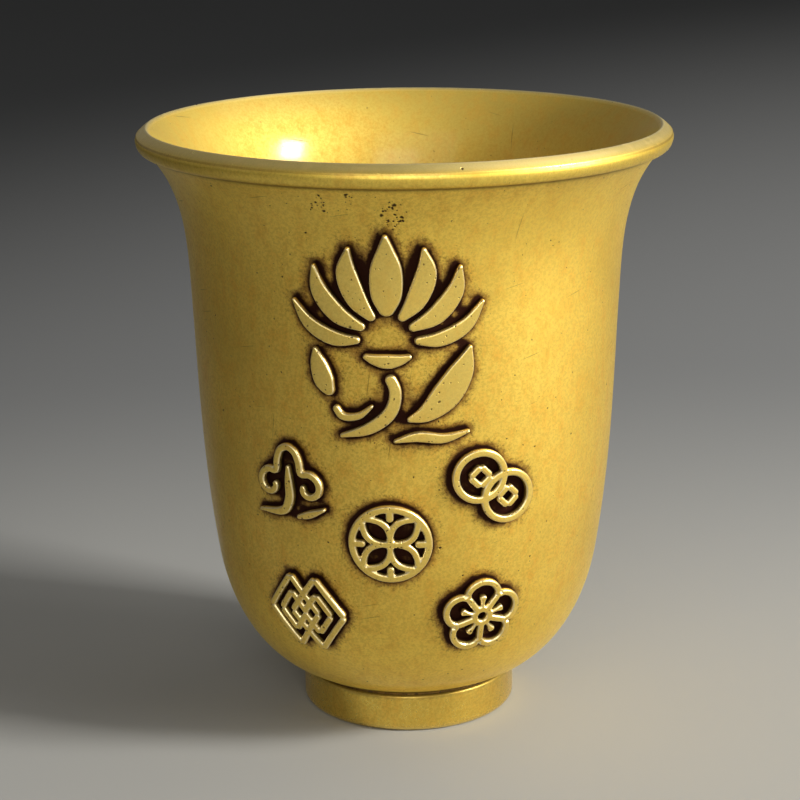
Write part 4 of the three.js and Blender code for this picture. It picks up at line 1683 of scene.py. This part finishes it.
@dataclass(frozen=True)
class Floor:
    """The floor: a painted pool of light, pale round the cup and darker far away from it, darkest to the
    left and behind.
    """

    near_radius: float = 0.4
    far_radius: float = 3.0
    # Painted light: pale near the cup, then grey, then near black far off.
    pale: Colour = (0.32, 0.322, 0.312, 1.0)
    grey: Colour = (0.185, 0.19, 0.193, 1.0)
    far_painted_shade: Colour = (0.036, 0.038, 0.04, 1.0)
    middle: Knot = (0.02, -0.12, 0.0)
    far_shade_middle: Knot = (2.7, -1.35, 0.0)
    light_pool_reach: Point = (0.13, 0.31)
    far_shade_reach: Point = (3.05, 3.5)
    sides: int = 96
    roughness: float = 0.75
    shine: float = 0.2

    def build(self) -> None:
        """Lays the floor."""
        clear_selection()
        bpy.ops.mesh.primitive_circle_add(vertices=self.sides, radius=self.near_radius, fill_type="TRIFAN")
        floor = bpy.context.object
        floor.name = "pale_floor"
        bpy.ops.object.mode_set(mode="EDIT")
        bpy.ops.mesh.select_all(action="DESELECT")
        mesh = bmesh.from_edit_mesh(floor.data)
        for edge in mesh.edges:
            edge.select_set(edge.is_boundary)
        bmesh.update_edit_mesh(floor.data)
        grow = self.far_radius / self.near_radius
        bpy.ops.mesh.extrude_edges_move()
        bpy.ops.transform.resize(value=(grow, grow, 1.0))
        close_mesh()
        if floor.data.polygons[0].normal.z < 0:
            floor.data.flip_normals()
        floor.data.materials.append(self._material())

    def _material(self) -> Material:
        """Builds the floor's matt finish, which is clear from below."""
        material = bpy.data.materials.new("pale_floor_finish")
        material.use_nodes = True
        sheet = Sheet(material.node_tree)
        shader = sheet.tree.nodes["Principled BSDF"]
        where = sheet.add("ShaderNodeTexCoord").outputs["Object"]
        # A painted pool of light: pale round a middle just right of the cup, and darker with the distance
        # from a point far to the right.
        colour = self.pale
        for middle, reach, tone in (
            (self.middle, self.light_pool_reach, self.grey),
            (self.far_shade_middle, self.far_shade_reach, self.far_painted_shade),
        ):
            away = sheet.ramp(sheet.vector("DISTANCE", where, middle), *reach)
            colour = sheet.mix(away, colour, tone)
        sheet.feed(shader.inputs["Base Color"], colour)
        shader.inputs["Roughness"].default_value = self.roughness
        shader.inputs["Specular IOR Level"].default_value = self.shine
        clear = sheet.add("ShaderNodeBsdfTransparent").outputs[0]
        facing = sheet.add("ShaderNodeNewGeometry").outputs["Backfacing"]
        either = sheet.add("ShaderNodeMixShader", {0: facing, 1: shader.outputs[0], 2: clear})
        sheet.feed(sheet.tree.nodes["Material Output"].inputs["Surface"], either.outputs[0])
        return material


@dataclass(frozen=True)
class SoftBox:
    """A square studio lamp, placed by azimuth from -Y towards +X and by elevation, and aimed at the cup."""

    name: str
    azimuth: float
    elevation: float
    distance: float
    size: float
    watts: float
    colour: tuple[float, float, float] = (1.0, 0.97, 0.92)
    aim: float = 0.045

    def build(self) -> None:
        """Hangs the lamp."""
        clear_selection()
        bpy.ops.object.light_add(type="AREA")
        lamp = bpy.context.object
        lamp.name = self.name
        turn, rise = math.radians(self.azimuth), math.radians(self.elevation)
        away = Vector((math.sin(turn) * math.cos(rise), -math.cos(turn) * math.cos(rise), math.sin(rise)))
        lamp.location = away * self.distance + Vector((0.0, 0.0, self.aim))
        lamp.rotation_euler = away.to_track_quat("Z", "Y").to_euler()
        lamp.data.shape = "SQUARE"
        lamp.data.size = self.size
        lamp.data.energy = self.watts
        lamp.data.color = self.colour


@dataclass(frozen=True)
class Studio:
    """The lamps and the even light round them."""

    boxes: tuple[SoftBox, ...] = (
        SoftBox("key_box", 71.0, 30.0, 0.7, 0.15, 6.1),
        SoftBox("side_box", 72.0, 18.0, 1.1, 0.5, 6.2),
        SoftBox("front_box", -8.0, 26.0, 0.8, 0.6, 1.35),
        SoftBox("low_box", 5.0, 18.0, 1.4, 0.6, 3.8, (1.0, 0.95, 0.86)),
        SoftBox("top_box", 112.0, 60.0, 0.8, 0.5, 0.65),
        SoftBox("left_box", -75.0, 16.0, 0.9, 0.4, 0.1),
    )
    ambient: float = 0.15
    air: Colour = (1.0, 0.99, 0.96, 1.0)

    def build(self) -> None:
        """Hangs every lamp and sets the even light."""
        for box in self.boxes:
            box.build()
            log.info("%s: %.1f W", box.name, box.watts)
        scene = bpy.context.scene
        scene.world = bpy.data.worlds.new("studio_grey")
        scene.world.use_nodes = True
        background = scene.world.node_tree.nodes["Background"]
        background.inputs["Color"].default_value = self.air
        background.inputs["Strength"].default_value = self.ambient


@dataclass(frozen=True)
class Camera:
    """The camera at the photograph's viewing angle: its place in metres, its turns in degrees, its lens."""

    place: Knot = (0.0, -0.28058, 0.12107)
    pitch: float = 15.71
    yaw: float = -0.178
    roll: float = -0.54
    lens: float = 96.93
    sensor: float = 36.0

    def build(self) -> None:
        """Sets the camera up and makes it the scene's."""
        pitch, yaw, roll = (math.radians(each) for each in (self.pitch, self.yaw, self.roll))
        ahead = Vector((math.sin(yaw) * math.cos(pitch), math.cos(yaw) * math.cos(pitch), -math.sin(pitch)))
        level = Vector((math.cos(yaw), -math.sin(yaw), 0.0))
        above = level.cross(ahead)
        right = math.cos(roll) * level + math.sin(roll) * above
        up = -math.sin(roll) * level + math.cos(roll) * above
        clear_selection()
        bpy.ops.object.camera_add()
        camera = bpy.context.object
        camera.name = "photo_camera"
        turn = Matrix((right, up, -ahead)).transposed()
        camera.matrix_world = Matrix.Translation(self.place) @ turn.to_4x4()
        camera.data.lens = self.lens
        camera.data.sensor_width = self.sensor
        bpy.context.scene.camera = camera


def main() -> None:
    """Builds the cup, its stage, its light and its camera, and reports each piece."""
    logging.basicConfig(level=logging.INFO, format="%(name)s: %(message)s")
    bpy.context.scene.view_settings.view_transform = "Standard"
    Camera().build()
    sizes, layout = CupSizes.from_frame(), Field()
    wall = WallLine(sizes)
    front = FrontMap(sizes, wall, layout, OrnamentBook(layout).ornaments())
    effects = Effects()
    cast = CastBrass(crest_height=sizes.crest_height)
    CupBody(sizes, wall, front, layout.azimuth).build(cast.material(effects))
    FootRing(sizes).build(FootBrass().material(effects))
    BrazeSeam(sizes).build(SeamBraze().material(effects))
    ReliefMaker(front).build(ReliefBrass().material(effects))
    Floor().build()
    Studio().build()


if __name__ == "__main__":
    main()
